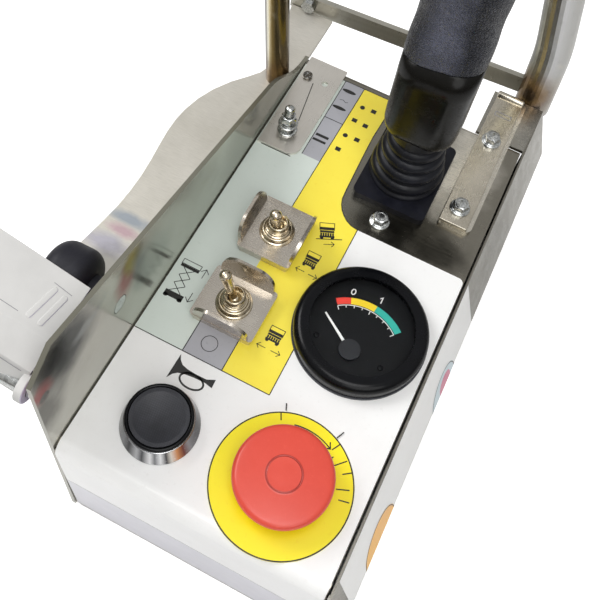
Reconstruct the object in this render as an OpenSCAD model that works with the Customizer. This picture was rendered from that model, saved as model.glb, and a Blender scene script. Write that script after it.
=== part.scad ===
// Joystick control box of a work lift: a folded sheet housing with its panel controls,
// a polished side plate, a tubular guard hoop and a hinged socket at the left.
// Places on the panel are measured from its front left corner, and heights from its top.

/* [Housing] */
// Width of the panel between the side plates
box_w = 122.4; // [117:0.2:140]
// Length of the panel from front to back
box_l = 235.6; // [230:0.2:260]
// Height of the box from the base cover to the panel
box_h = 90; // [84:1:120]
// Thickness of the folded sheet
sheet_t = 2; // [1.5:0.1:2.5]
// Outer radius of the bend between the panel and the front
front_bend_r = 6; // [4:0.5:12]
// Outer radius of the bend between the panel and the back
back_bend_r = 3; // [2.6:0.2:6]
// Depth of the side flanges folded down inside
flange_h = 18; // [12:1:26]
// Width of the lips folded in at the bottom
lip_w = 14; // [10:1:20]
// Seam left between the panel and the left plate
seam_gap = 0.3; // [0.2:0.05:0.5]
// Seam left between the panel and the right plate
right_seam = 0.6; // [0.4:0.1:1]
// Thickness of the base cover
cover_t = 2; // [1.5:0.1:3]

/* [Side plates] */
// Thickness of the polished left plate
wing_t = 2; // [1.5:0.1:3]
// Height of the left plate's front corner above the panel
wing_apex_z = 62.3; // [50:0.5:75]
// Height of the left plate's highest point above the panel
wing_top_z = 72.3; // [64:0.5:90]
// Height where the top edge of the left plate starts to curve down
wing_heel_z = 26.3; // [20:0.5:34]
// Outward run of the right plate's sloped flank
flank_run = 10.4; // [6:0.2:14]
// Depth over which the flank slopes
flank_drop = 32; // [24:1:44]
// Length by which the right plate reaches behind the panel
tail_l = 30.4; // [26:0.2:36]
// Radius of the right plate's front corner
cheek_corner_r = 8; // [5:0.5:10]

/* [Guard hoop] */
// Outer diameter of the hoop tube
tube_d = 19; // [16:0.5:22]
// Height of the hoop measured along its own plane
hoop_h = 205; // [200:1:230]
// Backward lean of the hoop
hoop_lean = 7; // [5:0.5:10]
// Inward lean of the right leg
leg_lean = 9; // [5:0.5:10]
// Outward lean of the left rod
rod_lean = 4.6; // [3:0.2:7]
// Bend radius at the hoop's shoulders
shoulder_r = 38; // [30:1:44]
// Diameter of the left rod
rod_d = 12; // [10:0.5:14]
// Depth of the flat bar behind the panel
bar_h = 11; // [9:0.5:14]
// Thickness of the flat bar
bar_t = 3; // [2.5:0.5:4]

/* [Joystick] */
// Distance of the joystick's axis from the right plate
stick_right = 48.9; // [48:0.1:52]
// Distance of the joystick's axis from the back edge
stick_back = 43.6; // [42:0.1:46]
// Depth of the pivot under the panel
pivot_depth = 22; // [20:0.5:26]
// Diameter of the pivot pin
pivot_d = 8; // [6:0.5:9]
// Height of the boot above its flange
boot_h = 43; // [40:0.5:46]
// Number of rings on the boot
boot_rings = 4; // [3:1:6]
// Outer diameter of the lowest ring
boot_low_d = 36; // [32:0.5:38]
// Outer diameter of the highest ring
boot_high_d = 28; // [26:0.5:30]
// Width of the grip
grip_w = 34.5; // [32:0.5:36]
// Depth of the grip at its foot
grip_depth = 32; // [30:0.5:34]
// Height of the grip above the collar
grip_h = 82; // [76:1:86]
// Height of the collar under the grip
collar_h = 41; // [38:0.5:44]

/* [Toggle switches] */
// Distance of the front toggle from the left plate
toggle_a_x = 34.2; // [33:0.1:36]
// Distance of the front toggle from the front edge
toggle_a_y = 88.4; // [86:0.1:90]
// Distance of the rear toggle from the left plate
toggle_b_x = 34.3; // [33:0.1:36]
// Distance of the rear toggle from the front edge
toggle_b_y = 129.7; // [128:0.1:132]
// Length of each guard along its flanges
guard_l = 30.3; // [28:0.1:31]
// Distance between a guard's flanges
guard_w = 23.4; // [22:0.1:25]
// Thickness of the guard sheet
guard_t = 1.5; // [1:0.1:2]
// Height of the guard's flanges above its plate
guard_h = 11.5; // [9:0.5:13]
// Thickness of the block under each guard
spacer_t = 4.2; // [3:0.1:5]
// Diameter of the threaded bush
bush_d = 12; // [11:0.1:12.6]
// Length of each toggle lever above its pivot
lever_l = 19; // [16:0.5:22]
// Lean of each toggle lever to either side
lever_lean = 15; // [10:1:17]

/* [Gauge] */
// Distance of the gauge's centre from the right plate
gauge_right = 33.8; // [33:0.1:35]
// Distance of the gauge's centre from the front edge
gauge_y = 104.4; // [102:0.1:106]
// Outer diameter of the gauge's bezel
bezel_d = 60; // [58:0.5:61]
// Height of the bezel above the panel
bezel_h = 9; // [8:0.5:11]
// Diameter of the opening in the bezel
window_d = 46.8; // [44:0.2:48]
// Diameter of the gauge's case under the panel
case_d = 52; // [50:0.5:53]
// Depth of the gauge's case
case_depth = 34; // [28:1:40]
// Length of the needle from its hub
needle_l = 20; // [17:0.5:21]

/* [Horn button] */
// Distance of the horn button from the left plate
horn_x = 32.6; // [30:0.1:36]
// Distance of the horn button from the front edge
horn_y = 28.5; // [26:0.1:32]
// Diameter of the horn button's skirt at the panel
skirt_d = 33; // [31:0.5:35]
// Diameter of the horn button's cap
cap_d = 24.4; // [22:0.2:25]
// Height of the horn button
horn_h = 10.6; // [9:0.2:12]
// Travel of the horn button
horn_travel = 3; // [2:0.2:4]

/* [Stop button] */
// Distance of the stop button from the right plate
stop_right = 35.2; // [34:0.1:37]
// Distance of the stop button from the front edge
stop_y = 30.2; // [29.8:0.1:33]
// Diameter of the yellow disc
disc_d = 59; // [56:0.5:60]
// Diameter of the mushroom head
mushroom_d = 40.7; // [38:0.1:42]
// Height of the mushroom's rim above the panel
mushroom_h = 12.6; // [11:0.2:15]
// Travel of the stop button
stop_travel = 4; // [3:0.2:4.6]

/* [Socket and knob] */
// Length of the hinged lid across the box
lid_w = 64; // [52:1:70]
// Length of the lid from front to back
lid_l = 42; // [38:0.5:44]
// Depth of the lid's walls at the front
lid_h = 20; // [18:0.5:24]
// Wall of the lid
lid_wall = 2.2; // [1.6:0.1:3]
// Tilt of the whole socket away from the box
socket_tilt = 20; // [14:1:24]
// Diameter of the clamp knob
knob_d = 29.6; // [24:0.2:30]
// Length of the clamp knob
knob_l = 31; // [28:0.5:34]

/* [Hidden] */
$fn = 64;

// Clearances and overruns that many pieces share
over = 1;
slip = 0.3;
run_fit = 0.05;
close_fit = 0.02;

// Heights shared by the housing
shell_bottom = -(box_h - cover_t);
panel_right = box_w - right_seam * 2;
cheek_in = panel_right + right_seam;
cheek_top_x = box_w + right_seam + sheet_t / 10;
cheek_side_x = cheek_top_x + flank_run;
cheek_back_y = box_l + tail_l;
inner_top = -sheet_t;

// Centres of the controls
gauge_x = box_w - gauge_right;
stop_x = box_w - stop_right;
stick_x = box_w - stick_right;
stick_y = box_l - stick_back;

// Base cover and its fixings
cover_corner_r = 5;
foot_hole_d = 6.6;
foot_hole_inset_x = 21.2;
foot_hole_inset_y = 27.8;
base_screw_d = 4;
base_screw_head_d = 8;
base_screw_l = 8;
base_screw_inset = 7;
base_screw_side = 18;
base_screw_xs = [base_screw_side, box_w - base_screw_side];
base_screw_ys = [base_screw_inset, box_l - base_screw_inset];
foot_hole_xs = [foot_hole_inset_x, box_w - foot_hole_inset_x];
foot_hole_ys = [foot_hole_inset_y, box_l - foot_hole_inset_y];

// Left plate outline
wing_lead = 1;
wing_apex_y = 2.3;
wing_nose_y = 16.7;
wing_heel_back = 47.6;
wing_end_back = 4;
wing_end_z = 0.6;
wing_curve_pull = 16;
wing_curve_drop = 20;
wing_curve_steps = 10;

// Rail bracket outline at the left
bracket_t = 2;
bracket_front_y = 34;
bracket_wide = 46;
bracket_waist = 34;
bracket_belly = 36;
bracket_end_wide = 25;
bracket_waist_share = 0.6;
bracket_neck_back = 16.8;
bracket_neck_wide = 15.5;
bracket_corner_r = 12;
bracket_steps = 8;
bracket_bolt_in = 14.8;
bracket_bolt_d = 5;
bracket_bolt_head_d = 8;
bracket_bolt_head_h = 3.6;
bracket_bolt_up = 1.2;

// Hoop places on the panel
hoop_right_in = 6.4;
hoop_tail_out = 0.3;
hoop_foot = 8;
rod_out = 6.3;
rod_back = 20.6;
leg_straight = 20;
leg_bend_r = 130;
swage_l = 10;
swage_below = 34;
leg_rings = 4;
bend_rings = 10;
hoop_sides = 28;
bar_left = 26;
bar_drop = 2;

// Strip bracket beside the joystick
strip_right = 8;
strip_w = 16.4;
strip_front_back = 60.6;
strip_layer = 2;
strip_corner_r = 3;
strip_tail = 28;
strip_lip_h = 3;
strip_slot_w = 8;
strip_slot_l = 3;
strip_slot_back = 14;
strip_screw_x = 7;
strip_screw_front = 10;
strip_screw_rear = 5.1;
hex_d = 8;
hex_h = 3.6;
washer_d = 10;
washer_t = 0.9;
m5_d = 5;
m5_l = 9;

// Small plate at the rear left corner
corner_x = 1.5;
corner_w = 21;
corner_l = 62;
corner_t = 1.6;
corner_r = 6;
corner_stud_x = 10;
corner_stud_y = 13;
corner_hole_x = 14;
corner_screw_x = 4;
corner_hole_back = 13.3;
corner_hole_d = 3.4;
stud_d = 5;
stud_h = 21;
nut_h = 4.2;
small_screw_d = 3;
small_head_d = 5;
small_head_h = 1.4;
small_screw_l = 7;

// Joystick pieces
yoke_w = 44;
yoke_l = 76;
yoke_t = 4;
yoke_hole_d = 32;
ear_gap = 15;
ear_t = 5;
ear_l = 24;
ear_below = 12;
yoke_screw_y = 30.5;
pin_over = 2;
shaft_d = 10;
hub_d = 17;
hub_w = 26;
sensor_w = 8;
sensor_l = 26;
sensor_h = 28;
flange_w = 37;
flange_l = 48;
flange_t = 4;
flange_r = 3;
flange_off_y = 0.5;
boot_wall = 1.6;
boot_ring_r = 3.2;
boot_neck_h = 12;
boot_neck_d = 26.4;
boot_foot_h = 2.4;
shaft_top = 20;
collar_lap = 3;
collar_r = 9;
collar_wall = 2.4;
collar_chamfer = 3;
grip_r = 13;
grip_waist = 1.6;
grip_belly = 2.4;
grip_head_forward = 4;
grip_shell = 2.6;
grip_steps = 10;
pocket_w = 12;
trigger_w = 11;
trigger_l = 26;
trigger_depth = 9;
trigger_down = 22;
trigger_pin_d = 3;
trigger_out = 4;
rocker_w = 20;
rocker_l = 12;
rocker_h = 7;
rocker_pin_d = 3;
rocker_down = 4;
rocker_forward = 3;
rocker_swing = 2.6;

// Toggle switch pieces
bush_h = 8.6;
lever_ball_d = 7;
lever_pivot_z = 5.4;
lever_root_d = 3.4;
lever_tip_d = 5.4;
lever_pin_d = 2;
switch_w = 14;
switch_l = 19;
switch_h = 24;
ring_nut_d = 14.5;
ring_nut_h = 2.4;
ring_washer_d = 16.4;
guard_edge = 1.6;
guard_flange_l = 26;
guard_round = 8.5;
guard_flange_lean = 8;
terminal_w = 1;
terminal_l = 5;
terminal_h = 7;
terminal_pitch = 6;

// Gauge pieces
rim_d = 61;
rim_t = 1.2;
bezel_round = 3.8;
dial_t = 0.8;
dial_z = 3.2;
glass_t = 1.6;
glass_below = 1.4;
glass_lap = 1;
hub_back = 11.3;
hub_left = 0.7;
needle_hub_d = 9.6;
needle_hub_h = 1.2;
needle_t = 0.5;
needle_w = 1.4;
needle_rise = 0.4;
needle_angle = 56;
spindle_d = 2;
clamp_w = 14;
clamp_t = 2;
clamp_leg = 6;
clamp_stud_d = 4;
clamp_stud_pitch = 18;
clamp_stud_l = 12;
clamp_nut_d = 9;

// Horn button pieces
ring_d = 28;
skirt_h = 8.4;
cap_dish = 1.6;
stem_d = 12;
horn_bush_d = 22;
horn_bush_l = 14;
panel_nut_d = 28;
panel_nut_t = 3;
contact_w = 28;
contact_h = 28;

// Stop button pieces
disc_t = 0.5;
stop_bush_d = 22;
stop_collar_d = 28;
stop_collar_h = 4;
stop_stem_d = 13;
stop_crown = 3;
stop_edge_r = 2.5;
stop_mark_d = 14;
stop_mark_w = 0.8;
stop_mark_t = 0.4;
skirt_up = 1;
plunger_top_d = 16;

// Socket at the left
socket_x = -5;
socket_z = 58;
socket_back_y = 46;
lid_slope_y = 25;
lid_front_drop = 6;
lid_edge_drop = 10;
lid_back_h = 12;
rib_w = 3.4;
rib_l = 17;
rib_t = 0.6;
rib_pitch = 6.5;
rib_in = 11;
rib_back = 8;
pin_y = 3.5;
pin_z = 46;
socket_pin_d = 5.6;
socket_pin_l = 30;
knuckle_d = 12;
knuckle_w = 4;
knuckle_out = 4.4;
body_play = 1.2;
body_swing_play = 5.4;
body_back_y = 38.4;
body_below = 12;
insert_depth = 14;
insert_wall = 4;
contact_hole_d = 4.4;
contact_pitch = 10.5;
contact_row = 6;
contact_in_x = 6;
contact_in_y = 4;
foot_z = 18;
foot_h = 18;
foot_l = 20;
foot_out = 30;

// Knob at the left
knob_y = 54.6;
knob_z = 33;
knob_neck_d = 13;
knob_neck_l = 11.4;
knob_round = 6.6;
knob_stud_d = 8;

// Moves children from the panel's front left corner to the part's own frame
module on_panel() {
    translate([-box_w / 2, -box_l / 2, box_h]) children();
}

// A point on a cubic curve through four control points
function curve_point(p, t) =
    pow(1 - t, 3) * p[0] + 3 * pow(1 - t, 2) * t * p[1] + 3 * (1 - t) * pow(t, 2) * p[2] + pow(t, 3) * p[3];

function curve(p, steps) = [for (i = [0 : steps]) curve_point(p, i / steps)];

module rounded_rect(w, l, r) {
    translate([r, 0]) square([w - 2 * r, l]);
    translate([0, r]) square([w, l - 2 * r]);
    for (x = [r, w - r], y = [r, l - r]) translate([x, y]) circle(r = r);
}

module centred_rect(w, l, r) {
    translate([-w / 2, -l / 2]) rounded_rect(w, l, r);
}

// Extrudes a profile drawn in the length and height directions across the box
module across(w) {
    rotate([90, 0, 90]) linear_extrude(w) children();
}

module hex_prism(d, h) {
    cylinder(d = d, h = h, $fn = 6);
}

// Housing: an inverted channel with lips at the bottom and flanges at the sides
module channel_profile(inset) {
    front_r = front_bend_r - inset;
    back_r = back_bend_r - inset;
    low = shell_bottom - over;
    translate([inset, low]) square([box_l - 2 * inset, -low - front_bend_r]);
    translate([front_bend_r, low]) square([box_l - front_bend_r - back_bend_r, -low - inset]);
    translate([front_bend_r, -front_bend_r]) circle(r = front_r);
    translate([box_l - back_bend_r, low]) square([back_bend_r - inset, -low - back_bend_r]);
    translate([box_l - back_bend_r, -back_bend_r]) circle(r = back_r);
}

module shell_section() {
    difference() {
        channel_profile(0);
        channel_profile(sheet_t);
        translate([-over, shell_bottom - 2 * over]) square([box_l + 2 * over, 2 * over]);
    }
    for (y = [0, box_l - lip_w]) translate([y, shell_bottom]) square([lip_w, sheet_t]);
}

module panel_hole(x, y, d) {
    translate([x, y, inner_top - over]) cylinder(d = d, h = sheet_t + 2 * over);
}

module lip_holes() {
    for (x = base_screw_xs, y = base_screw_ys)
        translate([x, y, shell_bottom - over]) cylinder(d = base_screw_d + slip, h = sheet_t + 2 * over);
}

module housing_shell() {
    color("#c9c6cc") on_panel() difference() {
        union() {
            translate([seam_gap, 0, 0]) across(panel_right - seam_gap) shell_section();
            for (x = [seam_gap, panel_right - sheet_t])
                translate([x, front_bend_r, -flange_h])
                    cube([sheet_t, box_l - front_bend_r - back_bend_r, flange_h - sheet_t / 2]);
        }
        panel_hole(gauge_x, gauge_y, case_d + 2 * slip);
        panel_hole(horn_x, horn_y, horn_bush_d + slip);
        panel_hole(stop_x, stop_y, stop_bush_d + slip);
        panel_hole(toggle_a_x, toggle_a_y, bush_d + slip);
        panel_hole(toggle_b_x, toggle_b_y, bush_d + slip);
        panel_hole(stick_x, stick_y, yoke_hole_d);
        for (s = [-1, 1]) panel_hole(stick_x, stick_y + s * yoke_screw_y, m5_d + slip);
        for (y = strip_screw_ys) panel_hole(strip_x + strip_screw_x, y, m5_d + slip);
        panel_hole(corner_x + corner_stud_x, corner_y + corner_stud_y, stud_d + slip);
        panel_hole(corner_x + corner_screw_x, corner_hole_y, small_screw_d + slip);
        lip_holes();
    }
}

// Base cover with four fixing holes
module cover_outline() {
    translate([-wing_t, 0]) rounded_rect(cheek_side_x + wing_t, box_l, cover_corner_r);
}

module base_cover() {
    color("#b9b9bd") on_panel() translate([0, 0, -box_h]) linear_extrude(cover_t) difference() {
        cover_outline();
        for (x = foot_hole_xs, y = foot_hole_ys)
            translate([x, y]) circle(d = foot_hole_d);
        for (x = base_screw_xs, y = base_screw_ys)
            translate([x, y]) circle(d = base_screw_head_d + slip);
    }
}

module base_screws() {
    color("#8f9093") on_panel()
        for (x = base_screw_xs, y = base_screw_ys)
            translate([x, y, -box_h + slip]) {
                cylinder(d = base_screw_head_d, h = cover_t - slip);
                cylinder(d = base_screw_d, h = base_screw_l);
            }
}

// Polished plate at the left, seen from the side
wing_heel_y = box_l - wing_heel_back;
wing_end_y = box_l - wing_end_back;
wing_heel_slope = (wing_top_z - wing_heel_z) / (wing_heel_y - wing_nose_y);
wing_outline = concat(
    [[-wing_lead, -box_h], [wing_apex_y, wing_apex_z], [wing_nose_y, wing_top_z]],
    curve([
        [wing_heel_y, wing_heel_z],
        [wing_heel_y + wing_curve_pull, wing_heel_z - wing_curve_pull * wing_heel_slope],
        [wing_end_y - wing_curve_drop, wing_end_z + wing_curve_drop / 6],
        [wing_end_y, wing_end_z]
    ], wing_curve_steps),
    [[box_l, 0], [box_l, -box_h]]
);

module left_wing() {
    color("#c8c6bd") on_panel() difference() {
        translate([-wing_t, 0, 0]) across(wing_t) difference() {
            polygon(wing_outline);
            translate([-wing_lead - over, -box_h - over])
                square([box_l + 2 * over + wing_lead, cover_t + over]);
        }
        translate([-wing_t - over, knob_y, knob_z]) rotate([0, 90, 0])
            cylinder(d = knob_stud_d + 2 * slip, h = wing_t + 2 * over);
        translate([-wing_t - over, pin_y_in, pin_z]) rotate([0, 90, 0])
            cylinder(d = socket_pin_d + 2 * close_fit, h = wing_t + 2 * over);
    }
}

// Rail bracket: a flat plate with a sweeping outer edge
bracket_waist_y = box_l * bracket_waist_share;
bracket_belly_y = (bracket_waist_y + box_l) / 2 - bracket_corner_r / 2;
bracket_neck_y = box_l - bracket_neck_back;
bracket_back_y = cheek_back_y - slip;
bracket_outline = concat(
    [[-wing_t, bracket_front_y], [-bracket_wide + bracket_corner_r, bracket_front_y]],
    [for (i = [1 : bracket_steps]) [
        -bracket_wide + bracket_corner_r - bracket_corner_r * sin(90 * i / bracket_steps),
        bracket_front_y + bracket_corner_r - bracket_corner_r * cos(90 * i / bracket_steps)
    ]],
    curve([
        [-bracket_wide, bracket_waist_y - bracket_wide],
        [-bracket_wide + bracket_corner_r / 2, bracket_waist_y - bracket_waist / 2],
        [-bracket_waist, bracket_waist_y - bracket_waist / 2],
        [-bracket_waist, bracket_waist_y]
    ], bracket_steps),
    curve([
        [-bracket_belly, bracket_belly_y - bracket_corner_r],
        [-bracket_belly, bracket_belly_y + bracket_corner_r],
        [-bracket_neck_wide - bracket_corner_r, bracket_neck_y - bracket_corner_r],
        [-bracket_neck_wide, bracket_neck_y]
    ], bracket_steps),
    [[-bracket_end_wide, bracket_back_y], [0, bracket_back_y], [0, box_l + slip], [-wing_t, box_l + slip]]
);

module rail_bracket() {
    color("#cfccc4") on_panel() translate([0, 0, -bracket_t])
        linear_extrude(bracket_t) polygon(bracket_outline);
}

// Flat bar behind the panel, welded to the hoop and to the rail bracket
bar_y = bracket_back_y + close_fit;
hoop_x = box_w - hoop_right_in;
hoop_y = cheek_back_y + hoop_tail_out + tube_d / 2;
bar_yaw = atan2(hoop_y - bar_t / 2 - bar_y, hoop_x + bar_left);
bolt_z = bar_h / 2 + bracket_bolt_up;

module bar_frame() {
    translate([-bar_left, bar_y, -bar_drop]) rotate([0, 0, bar_yaw]) children();
}

module rear_crossbar() {
    color("#8d8b80") on_panel() difference() {
        bar_frame() difference() {
            cube([(hoop_x + bar_left) / cos(bar_yaw), bar_t, bar_h]);
            translate([bar_left - bracket_bolt_in, -over, bolt_z]) rotate([-90, 0, 0])
                cylinder(d = bracket_bolt_d + slip, h = bar_t + 2 * over);
        }
        hoop_frame() translate([0, 0, -leg_straight])
            cylinder(d = tube_d + 2 * close_fit, h = 2 * leg_straight);
    }
}

module bracket_bolt() {
    color("#b5b5b3") on_panel() bar_frame() translate([bar_left - bracket_bolt_in, 0, bolt_z]) {
        translate([0, -bracket_bolt_head_h - close_fit, 0]) rotate([-90, 0, 0])
            hex_prism(bracket_bolt_head_d, bracket_bolt_head_h);
        rotate([-90, 0, 0]) translate([0, 0, -close_fit * 2])
            cylinder(d = bracket_bolt_d, h = bar_t + bracket_bolt_head_h);
        translate([0, bar_t + close_fit, 0]) rotate([-90, 0, 0])
            hex_prism(bracket_bolt_head_d, bracket_bolt_head_h);
    }
}

// Right plate: a folded sheet with a sloped flank and a tail behind the panel
module cheek_profile(inset) {
    polygon([
        [cheek_in - over * inset, 0],
        [cheek_top_x - inset / 2, 0],
        [cheek_side_x - inset, -flank_drop],
        [cheek_side_x - inset, shell_bottom],
        [cheek_in - over * inset, shell_bottom]
    ]);
}

module cheek_block(inset, y_from, y_to) {
    corner_x = cheek_side_x - cheek_corner_r + close_fit;
    intersection() {
        translate([0, y_to, 0]) rotate([90, 0, 0]) linear_extrude(y_to - y_from) cheek_profile(inset);
        translate([0, 0, shell_bottom - over]) linear_extrude(box_h + over) {
            translate([0, inset]) square([corner_x, cheek_back_y + over]);
            translate([0, cheek_corner_r]) square([cheek_side_x + over, cheek_back_y]);
            translate([corner_x, cheek_corner_r]) circle(r = cheek_corner_r - inset);
        }
    }
}

module right_cheek() {
    color("#cfced2") on_panel() {
        difference() {
            cheek_block(0, 0, cheek_back_y);
            cheek_block(sheet_t, sheet_t, box_l - sheet_t);
            cheek_block(sheet_t, box_l + slip, cheek_back_y + over);
        }
        translate([strip_x - sheet_t, box_l + slip, inner_top])
            cube([cheek_top_x - slip - strip_x + sheet_t, tail_l - slip, sheet_t]);
    }
}

// Guard hoop: a bent tube drawn in its own leaning plane
rod_x = -wing_t - rod_out;
rod_y = box_l - rod_back;
hoop_span = norm([rod_x - hoop_x, rod_y - hoop_y]);
hoop_yaw = atan2(rod_y - hoop_y, rod_x - hoop_x);

module hoop_frame() {
    translate([hoop_x, hoop_y, 0]) rotate([0, 0, hoop_yaw]) rotate([hoop_lean, 0, 0]) children();
}

leg_bend_u = leg_bend_r * (1 - cos(leg_lean));
leg_bend_v = leg_straight + leg_bend_r * sin(leg_lean);
right_shoulder_v = hoop_h - shoulder_r * (1 - sin(leg_lean));
right_shoulder_u = leg_bend_u + (right_shoulder_v - leg_bend_v) * tan(leg_lean);
left_shoulder_v = hoop_h - shoulder_r - shoulder_r * sin(rod_lean);
left_shoulder_u = hoop_span + left_shoulder_v * tan(rod_lean);
top_to_u = left_shoulder_u - shoulder_r * cos(rod_lean);
swage_top_v = left_shoulder_v - swage_below;
rod_end_v = swage_top_v - swage_l;

// One station of the hoop's path: place along and up its plane, heading from upright, diameter
function bend_station(u, v, from, to, r) =
    [u + r * (cos(from) - cos(to)), v + r * (sin(to) - sin(from)), to, tube_d];

down = 180 + rod_lean;
hoop_path = concat(
    [[0, -hoop_foot, 0, tube_d], [0, leg_straight, 0, tube_d]],
    [for (i = [1 : leg_rings]) bend_station(0, leg_straight, 0, leg_lean * i / leg_rings, leg_bend_r)],
    [for (i = [0 : bend_rings]) bend_station(right_shoulder_u, right_shoulder_v,
        leg_lean, leg_lean + (90 - leg_lean) * i / bend_rings, shoulder_r)],
    [for (i = [0 : bend_rings]) bend_station(top_to_u, hoop_h,
        90, 90 + (down - 90) * i / bend_rings, shoulder_r)],
    [[left_shoulder_u - swage_below * tan(rod_lean), swage_top_v, down, tube_d]],
    [[left_shoulder_u - (swage_below + swage_l) * tan(rod_lean), rod_end_v, down, rod_d]]
);

// The first ring is cut level with the panel, the others stand square to the path
function hoop_ring(k) = [for (j = [0 : hoop_sides - 1])
    let (a = 360 * j / hoop_sides, p = hoop_path[k], c = cos(a) * p[3] / 2, y = sin(a) * p[3] / 2)
    [p[0] + c * cos(p[2]), y, p[1] - c * sin(p[2]) - (k == 0 ? y * tan(hoop_lean) : 0)]];

module guard_hoop() {
    last = (len(hoop_path) - 1) * hoop_sides;
    points = [for (k = [0 : len(hoop_path) - 1]) each hoop_ring(k)];
    walls = [for (k = [0 : len(hoop_path) - 2], j = [0 : hoop_sides - 1])
        let (a = k * hoop_sides + j, b = k * hoop_sides + (j + 1) % hoop_sides)
        each [[a, b, b + hoop_sides], [a, b + hoop_sides, a + hoop_sides]]];
    foot = [[for (j = [0 : hoop_sides - 1]) hoop_sides - 1 - j]];
    head = [[for (j = [0 : hoop_sides - 1]) last + j]];
    color("#c4c1b6") on_panel() hoop_frame() polyhedron(points, concat(foot, walls, head));
}

module left_rod() {
    color("#b9b5a8") on_panel() difference() {
        hoop_frame() translate([hoop_span, 0, 0]) rotate([0, rod_lean, 0])
            translate([0, 0, -rod_d]) cylinder(d = rod_d, h = rod_end_v / cos(rod_lean) + rod_d);
        translate([rod_x - 2 * rod_d, rod_y - 2 * rod_d, -4 * rod_d]) cube([4 * rod_d, 4 * rod_d, 4 * rod_d]);
    }
}

// Strip bracket of two layers beside the joystick
strip_x = box_w - strip_right - strip_w;
strip_y = box_l - strip_front_back;
strip_screw_ys = [strip_y + strip_screw_front, box_l - strip_screw_rear];
strip_end_y = box_l + strip_tail;
strip_slot_x = strip_x + (strip_w - strip_slot_w) / 2;

module strip_layer_shape(z, w, end_y) {
    translate([0, 0, z]) linear_extrude(strip_layer) difference() {
        translate([strip_x, strip_y]) rounded_rect(w, end_y - strip_y, strip_corner_r);
        for (y = strip_screw_ys) translate([strip_x + strip_screw_x, y]) circle(d = m5_d + slip);
    }
}

module strip_spacer() {
    color("#bfbcb6") on_panel() strip_layer_shape(0, strip_w, strip_end_y);
}

module strip_bracket() {
    color("#d2cfc8") on_panel() {
        difference() {
            strip_layer_shape(strip_layer, strip_w - strip_layer, strip_end_y - strip_lip_h);
            translate([strip_slot_x, strip_end_y - strip_slot_back, strip_layer + strip_layer / 2])
                cube([strip_slot_w, strip_slot_l, strip_layer]);
        }
        translate([strip_x, strip_end_y - strip_lip_h, 2 * strip_layer]) rotate([0, 90, 0])
            cylinder(r = strip_layer, h = strip_w - strip_layer);
    }
}

// Hexagon screw with a washer, standing on the surface at the origin
module hex_screw(below) {
    cylinder(d = washer_d, h = washer_t);
    translate([0, 0, washer_t]) hex_prism(hex_d, hex_h);
    translate([0, 0, -below]) cylinder(d = m5_d, h = below + washer_t);
}

module strip_screws() {
    color("#c9cbc9") on_panel() for (y = strip_screw_ys)
        translate([strip_x + strip_screw_x, y, 2 * strip_layer]) hex_screw(m5_l + strip_layer);
}

// Small plate at the rear left corner with its stud
corner_y = box_l - corner_l;
corner_hole_y = box_l - corner_hole_back;

module corner_plate() {
    color("#d6d0c6") on_panel() linear_extrude(corner_t) difference() {
        translate([corner_x, corner_y]) union() {
            rounded_rect(corner_w, corner_l, corner_r);
            square([corner_w - corner_r, corner_l]);
            translate([0, corner_l / 2]) square([corner_w, corner_l / 2]);
        }
        translate([corner_x + corner_stud_x, corner_y + corner_stud_y]) circle(d = stud_d + slip);
        translate([corner_x + corner_screw_x, corner_hole_y]) circle(d = small_screw_d + slip);
        translate([corner_x + corner_hole_x, corner_hole_y]) circle(d = corner_hole_d);
    }
}

module at_corner_stud() {
    on_panel() translate([corner_x + corner_stud_x, corner_y + corner_stud_y, 0]) children();
}

module corner_stud() {
    color("#c3c5c4") at_corner_stud() translate([0, 0, inner_top - nut_h]) {
        hex_prism(hex_d, nut_h - close_fit);
        cylinder(d = stud_d, h = stud_h + nut_h + sheet_t);
    }
}

module corner_nuts() {
    color("#cccecc") at_corner_stud() translate([0, 0, corner_t])
        difference() {
            union() {
                cylinder(d = washer_d, h = washer_t);
                translate([0, 0, washer_t]) hex_prism(hex_d, nut_h);
                translate([0, 0, washer_t + nut_h]) cylinder(d = washer_d, h = 2 * washer_t);
                translate([0, 0, 3 * washer_t + nut_h]) hex_prism(hex_d, nut_h);
            }
            translate([0, 0, -over]) cylinder(d = stud_d + 2 * close_fit, h = stud_h);
        }
}

module corner_screw() {
    color("#55524e") on_panel() translate([corner_x + corner_screw_x, corner_hole_y, corner_t]) {
        cylinder(d = small_head_d, h = small_head_h);
        translate([0, 0, -small_screw_l]) cylinder(d = small_screw_d, h = small_screw_l);
    }
}

// Joystick yoke under the panel, with ears that carry the pivot pin
module at_stick() {
    on_panel() translate([stick_x, stick_y, 0]) children();
}

pivot_z = -pivot_depth;

module joystick_yoke() {
    color("#3c3d40") at_stick() difference() {
        union() {
            translate([0, 0, inner_top - yoke_t])
                linear_extrude(yoke_t) centred_rect(yoke_w, yoke_l, flange_r);
            for (x = [-ear_gap - ear_t, ear_gap]) translate([x, -ear_l / 2, pivot_z - ear_below])
                cube([ear_t, ear_l, pivot_depth + ear_below - sheet_t - yoke_t / 2]);
        }
        translate([0, 0, inner_top - yoke_t - over])
            cylinder(d = yoke_hole_d - 2 * sheet_t, h = yoke_t + 2 * over);
        for (s = [-1, 1]) translate([0, s * yoke_screw_y, inner_top - yoke_t - over])
            cylinder(d = m5_d + slip, h = yoke_t + 2 * over);
        translate([-yoke_w, 0, pivot_z]) rotate([0, 90, 0])
            cylinder(d = pivot_d + 2 * run_fit, h = 2 * yoke_w);
    }
}

module yoke_screws() {
    color("#c9cbc9") at_stick() for (s = [-1, 1]) translate([0, s * yoke_screw_y, 0]) hex_screw(m5_l);
}

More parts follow.
